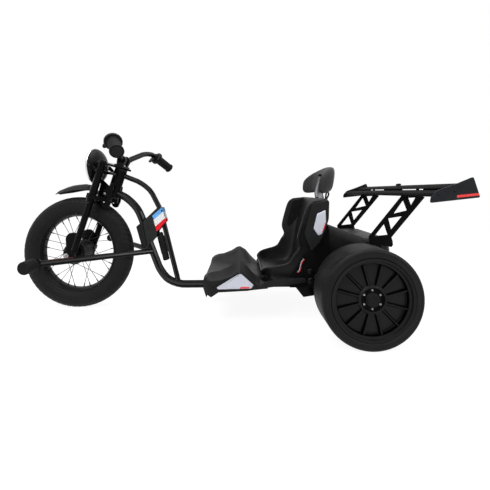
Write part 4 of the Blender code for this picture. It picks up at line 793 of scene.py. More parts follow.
# %% Hub caps and their bolts
BOLTS, BOLT_RING, CAP_START = 6, 0.0268, HUB_FACE + 0.0003
plate = mm((0, 0), (32.2, 0), (32.5, 0.4), (32.5, 1.7), (32, 2.1), (22.6, 2.1), (22.2, 1.2), (0, 1.2))
dome = mm((0, 1.3), (20.8, 1.3), (20.8, 7.2), (20, 8.2), (17.2, 8.8), (16.8, 10.4), (16, 11.2), (10, 11.6),
          (9.6, 10.9), (0, 10.9))
bolt = mm((0, 1.8), (2.9, 1.8), (2.9, 2.5), (2.2, 2.7), (2.2, 4.2), (1.8, 4.7), (1.1, 4.8), (1, 3.4),
          (0, 3.4))
plate, dome, bolt = (shape + [0, CAP_START] for shape in (plate, dome, bolt))
turns = np.linspace(0, math.tau, BOLTS, endpoint=False) + math.pi / BOLTS
for side, word in SIDES:
    centre, line = rear(0, side * REAR_MIDDLE, REAR_RADIUS), np.array([0.0, side, 0.0])
    body = "rear_wheel_" + word
    lathe("hub_plate_" + word, plate, centre, line, MATTE, body, 72, smooth=30.0,
          stands_for="rear_hub_cap_" + word)
    lathe("hub_dome_" + word, dome, centre, line, CAST, body, 72, smooth=30.0)
    spots = [centre + BOLT_RING * np.array([math.cos(t), 0, math.sin(t)]) for t in turns]
    gather("hub_bolts_" + word, [stub(bolt, spot, line, 14) for spot in spots], STEEL, body, slot="steel")
print("two caps,", 2 * BOLTS, "bolts")

# %% [markdown]
# ## Front tyre with its tread
# The front tyre is a 16 inch street tyre. Its tread is cut into blocks by a groove round the middle and
# by slanting grooves that run out over the shoulders. On the grid, a groove is where a slanted turn is
# near a whole step; there the radius shrinks by the groove's depth.

# %% Front tyre with its tread
FRONT_RADIUS, FRONT_HALF, FRONT_SEAT = FRONT_AXLE[2], 0.031, 0.1524
TREAD_BLOCKS, STEPS_PER_BLOCK = 60, 9


def cut_tread(radius, along, turn):
    """Sinks slanting grooves that start beside the middle and fade out down the shoulders."""
    share, rise = np.abs(along) / FRONT_HALF, radius - FRONT_SEAT
    phase = (turn / math.tau * TREAD_BLOCKS + 1.1 * share + 0.5 * (along > 0)) % 1.0
    slant = 1 - step(np.abs(phase - 0.5), 0.07, 0.12)
    zone = step(share, 0.16, 0.24) * step(-share, -1.02, -0.90) * step(rise, 0.030, 0.040)
    round_it = (1 - step(np.abs(share - 0.12), 0.035, 0.06)) * (radius > FRONT_RADIUS - 0.008)
    deep = 0.0022 * np.clip(slant * zone + round_it, 0, 1)
    bead, line = (np.exp(-(((rise - middle) / width) ** 2))
                  for middle, width in ((0.0085, 0.0013), (0.0290, 0.0012)))
    relief = np.sign(along) * (0.0014 * bead - 0.0008 * line) * (share > 0.5)
    return radius - deep, along - relief


wall = smooth_curve([(0.0, 0.66), (0.05, 0.74), (0.14, 0.86), (0.29, 0.965), (0.45, 1.0), (0.60, 0.975),
                     (0.74, 0.90), (0.84, 0.76), (0.92, 0.60), (0.972, 0.38), (1.0, 0.16), (1.0, 0.0)], 7)
wall = wall * [FRONT_RADIUS - FRONT_SEAT, FRONT_HALF] + [FRONT_SEAT, 0]
street_tyre = lathe("street_tyre", np.vstack([wall, mirrored(wall[:-1])]), FRONT_AXLE, ACROSS, FRONT_RUBBER,
                    "front_wheel", TREAD_BLOCKS * STEPS_PER_BLOCK, loop=True, push=cut_tread,
                    smooth=38.0, stands_for="front_tyre", slot="tyre")
print("front tyre:", len(street_tyre.data.polygons), "faces")

# %% [markdown]
# ## Front rim and hub motor
# The rim is a hooked channel, and the hub is wide because the motor sits inside it, between two flanges
# and under nine fine fins.

# %% Front rim and hub motor
RIM_EDGE, RIM_HALF = 0.152, 0.0215
hook = mm((-4.5, -0.4), (-3.5, 0), (-0.6, 0), (0, -0.6), (0, -2.5), (-7, -7)) + [RIM_EDGE, RIM_HALF]
bed = mm((-11.5, -10), (-12.2, -7.5), (-12.2, 7.5), (-11.5, 10)) + [RIM_EDGE, 0]
lathe("hooked_rim", np.vstack([hook, mirrored(hook), bed]), FRONT_AXLE, ACROSS, GLOSSY, "front_wheel", 180,
      loop=True, smooth=30.0, stands_for="front_rim", slot="black_paint")

MOTOR_RADIUS, MOTOR_HALF = 0.040, 0.044
FLANGE = MOTOR_RADIUS + 0.003
drum = np.vstack([
    mm((6.7, 0), (13.5, 0), (14.2, -0.6), (16.8, -5), (24, -5.2), (24.4, -6.4), (30, -6.4), (30.4, -5.4),
       (36.5, -6.6), (37.2, -7.8)) + [0, MOTOR_HALF],
    mm((-0.6, -8.2), (0, -8.8), (0, -12), (-0.6, -12.6)) + [FLANGE, MOTOR_HALF],
    mm((0, -14), *((-0.6 * (i % 2), -17 - 3 * i) for i in range(9))) + [MOTOR_RADIUS, MOTOR_HALF]])
lathe("finned_hub_motor", np.vstack([drum, mirrored(drum)]), FRONT_AXLE, ACROSS, CAST, "front_wheel", 120,
      loop=True, smooth=30.0, stands_for="hub_motor", slot="dark_metal")
print("rim of", round(2000 * RIM_EDGE), "mm and hub of", round(2000 * MOTOR_HALF), "mm")

# %% [markdown]
# ## Spokes
# The spokes cross in pairs from a flange of the hub to the rim. Each ends in a square nipple, which shows
# as a small bright step, and hooks into the flange with a round head.

# %% Spokes
PAIRS, LEAN = 7, math.radians(30.0)
LEVEL = np.cross(ACROSS, [0.0, 0.0, 1.0])
LEVEL /= np.linalg.norm(LEVEL)
UPRIGHT = np.cross(LEVEL, ACROSS)


def round_wheel(radius, turn, along):
    """A place round the front axle: radius times the sine to the rear and the cosine upwards."""
    out = LEVEL * math.sin(turn) + UPRIGHT * math.cos(turn)
    return FRONT_AXLE + radius * out + ACROSS * along


def one_spoke(side, pair, lean):
    """A thin bar from flange to rim, with a wider nipple at the rim and a head on the flange."""
    rim_turn = math.tau * (pair + 0.125 * side + 0.25 * lean) / PAIRS
    flange_turn, on_hub = rim_turn - lean * LEAN, MOTOR_HALF - 0.0103 + lean * 0.0024
    start = round_wheel(FLANGE + 0.0002, flange_turn, side * on_hub)
    end = round_wheel(RIM_EDGE - 0.0125, rim_turn, side * (0.003 + lean * 0.0012))
    long = float(np.linalg.norm(end - start))
    profile = [(0.0, -0.002), (0.0021, -0.002), (0.0021, -0.0004), (0.0011, 0.0003), (0.0010, 0.006),
               (0.0010, long - 0.0135), (0.0019, long - 0.0125), (0.0020, long), (0.0, long)]
    return stub(profile, start, end - start, 10)


lacing = [one_spoke(side, pair, lean) for side in (-1, 1) for pair in range(PAIRS) for lean in (-1, 1)]
gather("laced_spokes", lacing, DARK_STEEL, "front_wheel", stands_for="front_spokes", slot="steel")
print(len(lacing), "spokes")

# %% [markdown]
# ## Headlight
# The lamp is a shallow black bowl with a bright ring, a clear lens and, inside, a reflector with three
# rows of light chips. The bowl is one closed turned wall, thin as pressed steel. It tilts on two pins.

# %% Headlight
LAMP_RADIUS, LAMP_BACK, LAMP_DEPTH, LAMP_WALL = 0.069, 0.020, 0.037, 0.0022
FRONT_EDGE = LAMP_DEPTH - LAMP_BACK
outer = np.array([(0, 0), (0.28, 0), (0.52, 3.5), (0.73, 10.5), (0.89, 18.5), (0.97, 25.5), (1, 30),
                  (1, 32.5)])
outer = rounded(outer * [LAMP_RADIUS, 0.001] - [0, LAMP_BACK], rounds=3)
inner = np.maximum(outer[::-1] - [LAMP_WALL, -LAMP_WALL], [0.0, -1.0])
lip = [(LAMP_RADIUS - LAMP_WALL, FRONT_EDGE - 0.0045)]
lathe("lamp_bowl", np.vstack([outer, lip, inner]), LAMP, LAMP_AXIS, GLOSSY, "headlight", smooth=30.0,
      stands_for="headlight_shell", slot="black_paint")
bezel = mm((-4, -5.2), (0.8, -5.2), (0.8, 0.2), (-2, 2.6), (-5.2, 0.2)) + [LAMP_RADIUS, FRONT_EDGE]
lathe("lamp_bezel", rounded(bezel, loop=True), LAMP, LAMP_AXIS, CHROME, "headlight", loop=True)
pane = mm((0, 6), (26, 5.4), (52, 3), (64.8, -1.2), (64.8, -3.5), (52, 0.6), (26, 3), (0, 3.6))
lathe("lamp_lens", rounded(pane + [0, FRONT_EDGE]), LAMP, LAMP_AXIS, LENS, "headlight",
      stands_for="headlight_lens", slot="lens")
dish = mm((0, -12.5), (18, -12.5), (45, -4.5), (64, 11), (63.2, 11.8), (44, -3), (18, -11), (0, -11))
lathe("lamp_reflector_dish", rounded(dish), LAMP, LAMP_AXIS, REFLECTOR, "headlight")
pin = mm((0, 57), (4, 57), (4, 75), (6.2, 75.2), (6.2, 76.8), (0, 76.8))
gather("lamp_pins", [stub(pin, LAMP, ACROSS * side, 20) for side in (-1, 1)], DARK_STEEL, "headlight")
print("lamp of", round(2000 * LAMP_RADIUS), "mm")

# %% [markdown]
# ## Headrest pad
# The pad is foam in a soft skin, bowed round the rider's head, with a channel in front where the metal
# post shows. It is a loft: each cross section is a rounded square, `(|cos|^3 + |sin|^3)^(-1/3)`, that
# shrinks towards the ends, slowly above and fast below, so the top is a long arch as in the picture. Its
# crown comes from the formula and not from a cloth simulation.

# %% Headrest pad
POST_LEAN = math.radians(4.5)
POST_RUN = np.array([math.sin(POST_LEAN), 0.0, math.cos(POST_LEAN)])
POST_BACK = np.array([POST_RUN[2], 0.0, -POST_RUN[0]])
POST_FOOT = rear(-0.0671, 0, 0.372)
PAD_HALF_WIDTH, PAD_HALF_DEPTH, PAD_ABOVE, PAD_BELOW = 0.1295, 0.0206, 0.0525, 0.0415


def oval_reach(turn, power):
    """How far a rounded square reaches in each direction: (|cos|^power + |sin|^power)^(-1/power)."""
    return (np.abs(np.cos(turn)) ** power + np.abs(np.sin(turn)) ** power) ** (-1 / power)


def headrest_points(columns=96, sections=72):
    """A bowed loft: place = middle + across + size * rounded square, bowed by the cube of across."""
    angle = np.linspace(-math.pi / 2, math.pi / 2, sections)[:, None]
    turn = np.linspace(0, math.tau, columns, endpoint=False)[None, :]
    across = np.sin(angle)
    side = np.abs(across)
    thick, above, below = (np.clip(1 - side**bend, 0, 1) ** root
                           for bend, root in ((3.0, 0.45), (2.3, 0.5), (14.0, 0.4)))
    reach = oval_reach(turn, 3)
    back = PAD_HALF_DEPTH * reach * np.cos(turn) * thick
    height = reach * np.sin(turn)
    height = np.where(height > 0, PAD_ABOVE * height * above, (PAD_BELOW + 0.0085 * side**2) * height * below)
    height = height - 0.008 * side**6
    channel = 0.0011 * np.exp(-(((side - 0.62) / 0.035) ** 2)) * (np.cos(turn) < 0.2)
    bowed = back + channel - 0.056 * side**3 + 0.15 * height
    return np.stack([bowed, across * PAD_HALF_WIDTH + 0 * height, height], -1) + rear(-0.040, 0, 0.496)


def cut_slot(item, outline, half):
    """Takes a plate along the post, an outline up it and behind it, out of a piece with a Boolean."""
    base = POST_FOOT + np.array([0.0, -half, 0.0])
    points, cells = sheet_prism(mm(*outline), base, POST_RUN, POST_BACK, 2 * half)
    tool = bpy.data.objects.new("cut_tool", outward_mesh("cut_tool", points, cells))
    bpy.context.scene.collection.objects.link(tool)
    modifier = item.modifiers.new("cut", "BOOLEAN")
    modifier.operation, modifier.solver, modifier.object = "DIFFERENCE", "EXACT", tool
    applied(item)
    bpy.data.objects.remove(tool)


points = headrest_points()
pad = piece("headrest_cushion", points, grid_faces(*points.shape[:2], close_columns=True), SKIN, "headrest",
            stands_for="headrest_pad", slot="padding")
cut_slot(pad, [(0, -15), (150.3, -15), (150.3, 15), (0, 15)], 0.0090)
cut_slot(pad, [(0, -85), (150, -85), (142, 2), (0, 6)], 0.024)
pad.data.polygons.foreach_set("use_smooth", np.ones(len(pad.data.polygons), bool))
pad.data.set_sharp_from_angle(angle=math.radians(50))
print("pad:", len(pad.data.polygons), "faces")

# %% [markdown]
# ## Softer edges on the angular solids
# Moulded plastic and folded steel never end in a knife edge. A narrow bevel catches the light along
# each corner, and the eye reads it as thickness. The solid itself stays as it is: a merged copy with its
# flat triangles joined again gets the bevel, and stands for it.


# %% Softer edges on the angular solids
def soften(name, width, finish, slot):
    """A copy of a solid with its corners rounded by a bevel of the given width."""
    shape = bmesh.new()
    shape.from_mesh(NODES[name].data)
    bmesh.ops.remove_doubles(shape, verts=shape.verts, dist=2e-6)
    bmesh.ops.dissolve_limit(shape, angle_limit=math.radians(1.0), verts=shape.verts, edges=shape.edges)
    bmesh.ops.recalc_face_normals(shape, faces=shape.faces)
    mesh = bpy.data.meshes.new("soft_" + name)
    shape.to_mesh(mesh)
    shape.free()
    item = shown("soft_" + name, mesh, finish, NODES[name]["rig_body"], stands_for=name, slot=slot)
    bevel = edges(item, width, 3, 28.0)
    bevel.use_clamp_overlap, bevel.harden_normals = True, True


soften("floor_body", 0.0035, PLASTIC, "black_plastic")
soften("rear_cowl", 0.0015, PLASTIC, "black_plastic")
soften("wing", 0.0006, MATTE, "black_plastic")
soften("controller_box", 0.0025, PLASTIC, "black_plastic")
soften("battery_pack", 0.004, CASE, "battery_case")
for name in ("strut_left", "strut_right"):
    soften(name, 0.0007, MATTE, "black_paint")
for name in ("subframe", "body_mount", "seat_mount", "headrest_guide", "top_clamp"):
    soften(name, 0.0008, PAINT, "black_paint")
print("edges softened")

# %% [markdown]
# ## Bucket seat
# The seat is a thin moulded shell: a pan that turns up into a back, with side wings that hold the hips
# and shoulders. It is worked out from twelve stations along its length. Each gives the middle of the
# skin, the edge of its wing, a width, and how square the section is. A point lies at
# `middle + width * y + (edge - middle) * depth`, where the depth follows either a curved or a boxed
# section. A rolled bead runs along the whole edge, as on a real moulding, and it is a swept bar.

# %% Bucket seat
STATIONS = np.array([
    (-0.297, 0.159, -0.300, 0.174, 0.78, 0.0), (-0.281, 0.150, -0.289, 0.184, 0.84, 0.0),
    (-0.264, 0.138, -0.272, 0.190, 0.91, 0.0), (-0.239, 0.133, -0.247, 0.196, 0.945, 0.0),
    (-0.214, 0.132, -0.224, 0.202, 0.965, 0.0), (-0.169, 0.140, -0.205, 0.213, 0.985, 0.0),
    (-0.142, 0.175, -0.191, 0.236, 1.01, 0.15), (-0.129, 0.230, -0.174, 0.264, 1.05, 0.5),
    (-0.118, 0.290, -0.182, 0.300, 1.11, 0.85), (-0.104, 0.350, -0.168, 0.356, 1.17, 1.0),
    (-0.089, 0.405, -0.152, 0.402, 1.185, 1.0), (-0.084, 0.424, -0.134, 0.418, 1.150, 1.0)])
SECTION = np.array([(1.07, 1.0, 1.0), (1.06, 0.86, 0.83), (1.05, 0.72, 0.66), (1.02, 0.42, 0.28),
                    (0.97, 0.18, 0.06), (0.86, 0.04, 0.0), (0.66, 0.0, 0.0), (0.30, 0.0, 0.0)])
SECTION = np.vstack([SECTION, SECTION[::-1] * [-1, 1, 1]])
SEAT_HALF_WIDTH, SEAT_WALL, BEAD_RADIUS = 0.148, 0.005, 0.0052


def seat_points(steps=6, fine=4):
    """The skin's points: stations blended along the seat, and the section blended across it."""
    run = smooth_curve(STATIONS, steps)
    y, curved, boxed = smooth_curve(SECTION, fine).T
    middle, edge = (np.stack([REAR_AXLE[0] + x, 0 * x, z], -1)[:, None]
                    for x, z in ((run[:, 0], run[:, 1]), (run[:, 2], run[:, 3])))
    square = np.clip(run[:, 5], 0, 1)[:, None]
    depth = (curved + (boxed - curved) * square)[..., None]
    width = (SEAT_HALF_WIDTH * run[:, 4])[:, None] * y
    return middle + (edge - middle) * depth + width[..., None] * np.array([0.0, 1.0, 0.0])


skin = seat_points()
seat = piece("bucket_seat", skin, grid_faces(*skin.shape[:2]), PLASTIC, "frame", 60.0,
             stands_for="seat_shell", slot="black_plastic")
if seat.data.polygons[len(seat.data.polygons) // 2].normal.x > 0:
    seat.data.flip_normals()
thick = seat.modifiers.new("wall", "SOLIDIFY")
thick.thickness, thick.offset = SEAT_WALL, -1.0
round_edge = np.vstack([skin[::-1, 0], skin[0, 1:-1], skin[:, -1], skin[-1, -2:0:-1]])
ring_points = swept_points(np.vstack([round_edge, round_edge[:2]]), BEAD_RADIUS, 12)[:-2]
piece("seat_edge_bead", ring_points, grid_faces(len(ring_points), 12, close_rows=True, close_columns=True),
      GLOSSY, "frame", 60.0, slot="black_plastic")
print("seat skin:", skin.shape[0], "by", skin.shape[1], "points")

# %% [markdown]
# ## Thin labels that hug their surface
# The stickers are flat sheets with rounded corners, laid on a plate that leans a little. Each is a fine
# grid between its outline and its middle; a Shrinkwrap along Y drops it on the plate and holds it a
# little proud, and the result is applied. Their printed words are left off: the places stay plain.


# %% Thin labels that hug their surface
def fillet(outline, reach, steps=5):
    """An outline with each corner replaced by a curve: a quadratic blend from one side to the next."""
    p = np.asarray(outline, float)
    before, after = np.roll(p, 1, axis=0) - p, np.roll(p, -1, axis=0) - p
    a = p + before / np.linalg.norm(before, axis=1)[:, None] * reach
    b = p + after / np.linalg.norm(after, axis=1)[:, None] * reach
    t = np.linspace(0, 1, steps)[None, :, None]
    return ((1 - t) ** 2 * a[:, None] + 2 * t * (1 - t) * p[:, None] + t**2 * b[:, None]).reshape(-1, 2)


def label(name, outline, side, onto, finish, proud=0.0006, **says):
    """A sticker from an outline in X and Z, pressed along Y onto a piece."""
    share, middle = np.linspace(1, 0, 6, endpoint=False)[:, None, None], outline.mean(axis=0)
    rings = middle + (outline[None] - middle) * share
    rows, n = rings.shape[:2]
    points = np.stack([rings[..., 0], np.full((rows, n), side * 0.5), rings[..., 1]], -1)
    faces = grid_faces(rows, n, close_columns=True) + [list(range((rows - 1) * n, rows * n))]
    item = piece(name, points, faces, finish, "frame", **says)
    if item.data.polygons[0].normal.y * side < 0:
        item.data.flip_normals()
    press = item.modifiers.new("press", "SHRINKWRAP")
    press.target, press.wrap_method, press.offset = onto, "PROJECT", proud
    press.use_project_y, press.use_positive_direction, press.use_negative_direction = True, True, True
    press.wrap_mode = "ABOVE_SURFACE"
    film = item.modifiers.new("film", "SOLIDIFY")
    film.thickness, film.offset = 0.0004, -1.0
    applied(item)


SIDE_SHELL = fillet(mm((327, 413), (386, 426), (385.5, 362), (374, 326), (359, 290), (330, 256),
                       (304, 314)), 0.007)
SEAT_STICKER = fillet(mm((346, 380), (374.5, 393), (375.8, 350.3), (362.1, 312.3), (351.3, 308.5),
                         (334.9, 331.3)), 0.004)
SEAT_FLASH = fillet(mm((373.8, 344), (375.2, 352), (373.5, 354), (367.2, 333), (364, 320),
                       (366.8, 321.5)), 0.0012, 3)
shell_height = np.tile(SIDE_SHELL[:, 1], 2)
SHELL_INNER, SHELL_OUTER = 0.166, 0.1860
lean = SHELL_OUTER + 0.045 * np.clip(shell_height - 0.33, -0.1, 0.2) * (shell_height < 0.42)
for side, word in SIDES:
    shell = side_plate("seat_side_shell_" + word, SIDE_SHELL, side, SHELL_INNER, lean, PLASTIC,
                       slot="black_plastic")
    edges(shell, 0.0045, 3, 40.0)
    label("seat_sticker_" + word, SEAT_STICKER, side, shell, FILM, slot="silver_panel")
    label("seat_flash_" + word, SEAT_FLASH, side, shell, RED, proud=0.0011)
print("stickers on both sides of the seat")

# %% [markdown]
# ## Side panels of the floor
# Each foot pod carries a silver film in a raised dark frame. Both are flat plates with rounded corners.
# The frame is a ring: an outer and an inner outline with equally many points, joined in a band.

# %% Side panels of the floor
BODY_SIDE = 0.1753
AXLE_LINE = [REAR_AXLE[0], 0]
PANEL = mm((-456, 134), (-380, 180.5), (-374, 180.5), (-332, 143), (-340, 131), (-450, 128)) + AXLE_LINE
PANEL_FRAME = mm((-470, 131), (-385, 184), (-368, 184), (-320, 141), (-334, 126.5),
                 (-456, 122.5)) + AXLE_LINE
POD_FLASH = mm((-379, 130.8), (-345.5, 132.2), (-347, 136.8), (-374.5, 136.2)) + AXLE_LINE
inner, outer = fillet(PANEL, 0.0038), fillet(PANEL_FRAME, 0.0050)
ring = np.vstack([outer, inner, inner, outer])
proud = np.repeat(BODY_SIDE + mm(-0.2, -0.2, 2.8, 2.8), len(outer))
for side, word in SIDES:
    side_plate("pod_film_" + word, fillet(PANEL, 0.0042), side, BODY_SIDE, BODY_SIDE + 0.0018, FILM,
               stands_for="side_panel_" + word, slot="silver_panel")
    points = np.column_stack([ring[:, 0], side * proud, ring[:, 1]])
    band_cells = grid_faces(4, len(outer), close_rows=True, close_columns=True)
    edges(piece("pod_frame_" + word, points, band_cells, GLOSSY, "frame"), 0.0009)
    side_plate("pod_flash_" + word, fillet(POD_FLASH, 0.0012, 3), side, BODY_SIDE + 0.0016,
               BODY_SIDE + 0.0022, RED)
print("films, frames and red flashes")

# %% [markdown]
# ## Headrest post
# The post is a flat bar of brushed metal, wide below and narrow in the pad's channel. It is lofted from
# rounded ovals, `(|cos|^2.4 + |sin|^2.4)^(-1/2.4)`, whose width follows the height. It slides in the
# guide behind the seat, so its lower end keeps the solid's size. A wire lever on the guide locks it.

# %% Headrest post
POST_UP = mm(-26, 40, 45, 50, 56, 64, 80, 100, 118, 136, 140)
HALF_WIDE = mm(13, 13, 14.5, 16, 17.2, 17.2, 16.8, 14.5, 12.8, 11.8, 11)
HALF_DEEP = mm(7, 7, 7.8, 9, 10.4, 10.8, 8.4, 8.2, 7.8, 7.4, 7)
FORWARD = mm(0, 0, 0, 0, 0, 3, 6, 4.5, 2.5, 1, 0.6)


def oval_bar(name, up, wide, deep, ahead, finish, **says):
    """A bar along the post's line, lofted from ovals."""
    turn = np.linspace(0, math.tau, 40, endpoint=False)
    reach = oval_reach(turn, 2.4)
    points = (POST_FOOT + up[:, None, None] * POST_RUN - ahead[:, None, None] * POST_BACK
              + (wide[:, None] * reach * np.cos(turn))[..., None] * POST_BACK
              + (deep[:, None] * reach * np.sin(turn))[..., None] * np.array([0.0, 1.0, 0.0]))
    piece(name, points, tube_faces(*points.shape[:2]), finish, "headrest", 50.0, **says)


oval_bar("chrome_post", POST_UP, HALF_WIDE, HALF_DEEP, FORWARD, POST_METAL, stands_for="headrest_post",
         slot="chrome")
cap_up, cap_wide = mm(140.4, 141, 148.5, 150), mm(12, 12.8, 12, 9)
oval_bar("post_stop", cap_up, cap_wide, cap_wide * 0.62, cap_up * 0.0, MATTE)
lever = mm((423.2, -6, 402), (433, -6, 424), (440, -6, 438), (440.8, -6, 447), (437, -6, 450.5),
           (432, -6, 446.5), (430, -6, 436), (428.5, -6, 424), (423.2, -6, 408))
sweep("post_lever", smooth_curve(lever, 6), 0.0033, DARK_STEEL, "frame", 12)
print("post", round(float(POST_UP[-1] - POST_UP[0]) * 1000), "mm")

# %% [markdown]
# ## Grips with end flanges
# The grips are thick soft rubber with rings between the fingers and a flange at each end. A grip is a
# turned shape round the bar's end, and its rings are a sine added to the radius.

# %% Grips with end flanges
CLAMP_TOP = 0.015 + 0.006 + 0.1065 + 0.006 + 0.008 + 4 * 0.0003
BAR_UP = CLAMP_TOP + 0.0265
GRIP_RUN = np.array([-0.622, 0.718, -0.314])
GRIP_RUN /= np.linalg.norm(GRIP_RUN)
along = np.linspace(0.008, 0.070, 94)
rings = 0.0186 + 0.0008 * np.abs(np.sin((along - 0.008) * math.pi / 0.0062)) ** 0.6
handle = np.vstack([
    mm((11.5, 0), (20.8, 0), (21.6, 0.8), (21.6, 4.2), (20.8, 5), (18.8, 6.2)),
    np.column_stack([rings, along]),
    mm((19, 71.2), (20.8, 72.2), (21.4, 73), (21.4, 76.2), (20.6, 77.8), (17.6, 78.6), (17, 77.6),
       (0, 77.6))])
disc = mm((0, 77), (16.6, 77), (16.6, 78.2), (15.8, 79), (6, 79.4), (0, 79.5))
for side, word in SIDES:
    start = head(-0.0465, side * 0.214, BAR_UP + 0.0498)
    run = AHEAD * GRIP_RUN[0] + ACROSS * side * GRIP_RUN[1] + UP * GRIP_RUN[2]
    lathe("ringed_grip_" + word, handle, start, run, RUBBER, "steering", 72, smooth=35.0,
          stands_for="grip_" + word, slot="rubber")
    lathe("grip_cap_" + word, disc, start, run, PLASTIC, "steering", 48)
print("grips of 79 mm")

# %% [markdown]
# ## Wing ends, webs and the line on the peg bars
# Each wing end is a flat plate with rounded corners, and a red flash runs along its lower rear edge. The
# place for words stays bare. Webs close most of the slot under the flap. A thin dark red line lies on
# each bar that carries a foot peg.

# %% Wing ends, webs and the line on the peg bars
END_PLATE = mm((151, 421.6), (152.8, 438), (169.4, 456.3), (226.2, 476.2), (270.6, 494.5), (289.4, 436.9))
END_FLASH = mm((694, 443.2), (754.5, 449.3), (756.2, 442.7), (694, 436.2))
END_INNER, END_OUTER, FLASH_INNER, FLASH_OUTER = 0.327, 0.331, 0.3308, 0.3313
for side, word in SIDES:
    plate = side_plate("end_plate_" + word, fillet(END_PLATE + AXLE_LINE, 0.0055), side, END_INNER,
                       END_OUTER, SLATE, stands_for="wing_end_" + word, slot="dark_panel")
    edges(plate, 0.0008)
    side_plate("wing_flash_" + word, fillet(END_FLASH, 0.0014, 4), side, FLASH_INNER, FLASH_OUTER, RED)
    start = HEAD + UNTURNED_AHEAD * -0.215 + UP * -0.135 + np.array([0, side * 0.004, 0])
    end = np.array([HEAD[0] - 0.11414, side * 0.243, FRONT_AXLE[2] + 0.014])
    share = np.linspace(0.74, 0.93, 12)[:, None]
    raised = np.array([0.0, side * 0.0050, 0.0096])
    sweep("peg_line_" + word, start + (end - start) * share + raised, 0.0013, DEEP_RED, "frame", 8)
web = mm((222.6, 457.4), (231, 458), (231, 465.2), (222.6, 464.2))
webs = [sheet_prism(web, (REAR_AXLE[0], high, 0), (1, 0, 0), (0, 0, 1), high - low)
        for low, high in ((-0.3262, -0.190), (-0.060, 0.060), (0.190, 0.3262))]
gather("wing_webs", webs, MATTE, "frame")
knob = rounded(mm((711, 476), (714, 484), (724, 485.5), (729, 477.5)), loop=True)
side_plate("wing_knob", knob, 1, -0.007, 0.007, MATTE)
print("flashes and lines")

# %% [markdown]
# ## Black panels behind the seat
# From the side, nothing shows between the seat and the cowl but a black panel, with the bosses of the
# drive and a pair of short leads that come out of it and go back in. A thin plate on each side closes
# that place, with a bulkhead across in front of the battery and a tray under the seat.

# %% Black panels behind the seat
SKIRT = mm((260, 129), (259, 147), (288, 196), (312.5, 240), (330, 256), (356, 290), (370, 326), (394, 330),
           (394.5, 190), (370, 160), (350, 129))
SKIRT_INNER, SKIRT_OUTER = 0.1590, 0.1620
BOSS = mm((0, -4), (10, -4), (10, 4), (8.8, 5.2), (6, 5.2), (5.4, 8), (3.4, 8.6), (0, 8.6))
LEAD = mm((286, 159, 180), (288, 164, 183), (293.5, 165.5, 193), (296, 165.5, 205), (300, 165, 217),
          (306, 164, 224), (310, 159, 226))
for side, word in SIDES:
    skirt = side_plate("seat_skirt_" + word, fillet(SKIRT, 0.004), side, SKIRT_INNER, SKIRT_OUTER, MATTE)
    edges(skirt, 0.0010)
    spots = mm((330, side * 161.5, 183), (353, side * 161.5, 164), (331, side * 161.5, 152))
    bosses = [stub(BOSS, spot, (0.0, side, 0.0), 20) for spot in spots]
    gather("drive_bosses_" + word, bosses, DARK_STEEL, "frame")
    for shade, finish, offset, radius in (("pale", FILM, 0.0, 0.0011), ("red", RED, 0.0030, 0.0009)):
        line = smooth_curve((LEAD + [offset, 0.0, -0.4 * offset]) * [1.0, side, 1.0], 6)
        sweep(shade + "_lead_" + word, line, radius, finish, "frame", 10)
TRAY = mm((173, 130), (170, 156), (180, 161.5), (320, 148), (325, 130))
edges(side_plate("seat_tray", fillet(TRAY, 0.004), 1, 0.128, -0.128, GLOSSY), 0.0015)
BOARD = mm((-149, 170), (149, 170), (149, 318), (128, 334), (-128, 334), (-149, 318))
board = sheet_prism(fillet(BOARD, 0.005), rear(-0.0705, 0, 0), (0, 1, 0), (0, 0, 1), 0.003)
edges(gather("cowl_bulkhead", [board], GLOSSY, "frame"), 0.001)
print("skirts and bulkhead")

# %% [markdown]
# ## Fork sleeve, light chips and small fasteners
# Small bright things make a machine believable: a plain silver sleeve on the far fork leg, three rows of
# light chips in the lamp, and the heads of the screws. All the screws are one turned profile, a washer
# under a rounded head with a socket, repeated at a list of places.

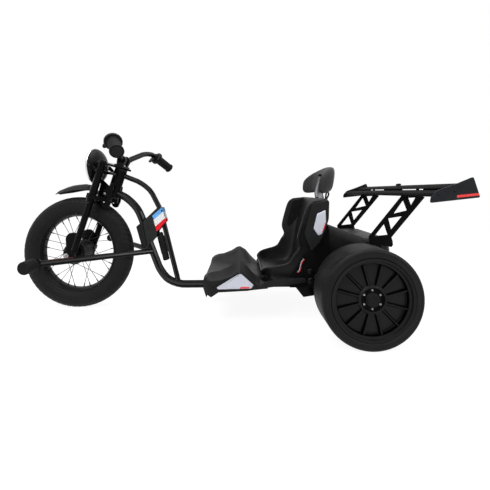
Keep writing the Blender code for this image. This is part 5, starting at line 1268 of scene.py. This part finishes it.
# %% Fork sleeve, light chips and small fasteners
LEG_AHEAD, LEG_ACROSS, LEG_RADIUS, AXLE_END = 0.0478, 0.065, 0.0115, 0.0855
sleeve_line = [head(LEG_AHEAD, LEG_ACROSS, up) for up in np.linspace(-0.100, -0.062, 4)]
sweep("leg_sleeve", sleeve_line, LEG_RADIUS + 0.0006, FILM, "steering", 40)
CHIP = mm((0, -1), (3.4, -1), (3.4, 1), (2.4, 2), (0, 2.3))
LAMP_UP, CHIP_MIDDLE = np.cross(ACROSS, LAMP_AXIS), LAMP + LAMP_AXIS * -0.0108
chips = [stub(CHIP, CHIP_MIDDLE + ACROSS * (0.0085 * column) + LAMP_UP * (0.010 * row), LAMP_AXIS)
         for row in range(-1, 2) for column in range(-2, 3)]
gather("light_chips", chips, FILM, "headlight")
SCREW = np.array([(0, -0.4), (1.35, -0.4), (1.35, 0.2), (1, 0.28), (1, 0.9), (0.82, 1.15), (0.5, 1.2),
                  (0.45, 0.6), (0, 0.6)])


def screws(name, places, axis, radius, body, finish=DARK_STEEL):
    """Round screw heads at a list of places, all along one axis."""
    gather(name, [stub(SCREW * radius, spot, axis, 14) for spot in places], finish, body)


# Each row: name, distance to the side in mm, radius in m, and the places in X and Z in mm.
FRAME_SCREWS = (("plate", 18.3, 0.0026, (-248, 346), (-212, 379)),
                ("strut", 157.7, 0.0030, (548, 260), (562, 260)),
                ("wing", 331, 0.0024, (645, 445), (690, 454)),
                ("pod", 175.2, 0.0030, (-5, 133), (172, 142)))
for side, word in SIDES:
    for part, far, radius, *places in FRAME_SCREWS:
        spots = mm(*((x, side * far, z) for x, z in places))
        screws(part + "_screws_" + word, spots, (0.0, side, 0.0), radius, "frame")
    axle_end = FRONT_AXLE + ACROSS * side * AXLE_END
    screws("axle_end_screws_" + word, [axle_end], ACROSS * side, 0.0042, "steering", STEEL)
    crown = [head(-0.012, side * 0.0398, 0.008), head(0.024, side * 0.0398, 0.040)]
    screws("crown_screws_" + word, crown, ACROSS * side, 0.0026, "steering")
clamp = [head(0.0050, across, BAR_UP + 0.0160) for across in (-0.018, 0.018)]
screws("clamp_screws", clamp, UP, 0.0032, "steering", STEEL)
screws("top_cap_screw", [head(0.0, 0.0, CLAMP_TOP + 0.0005)], UP, 0.0075, "steering", STEEL)
print("screws in place")
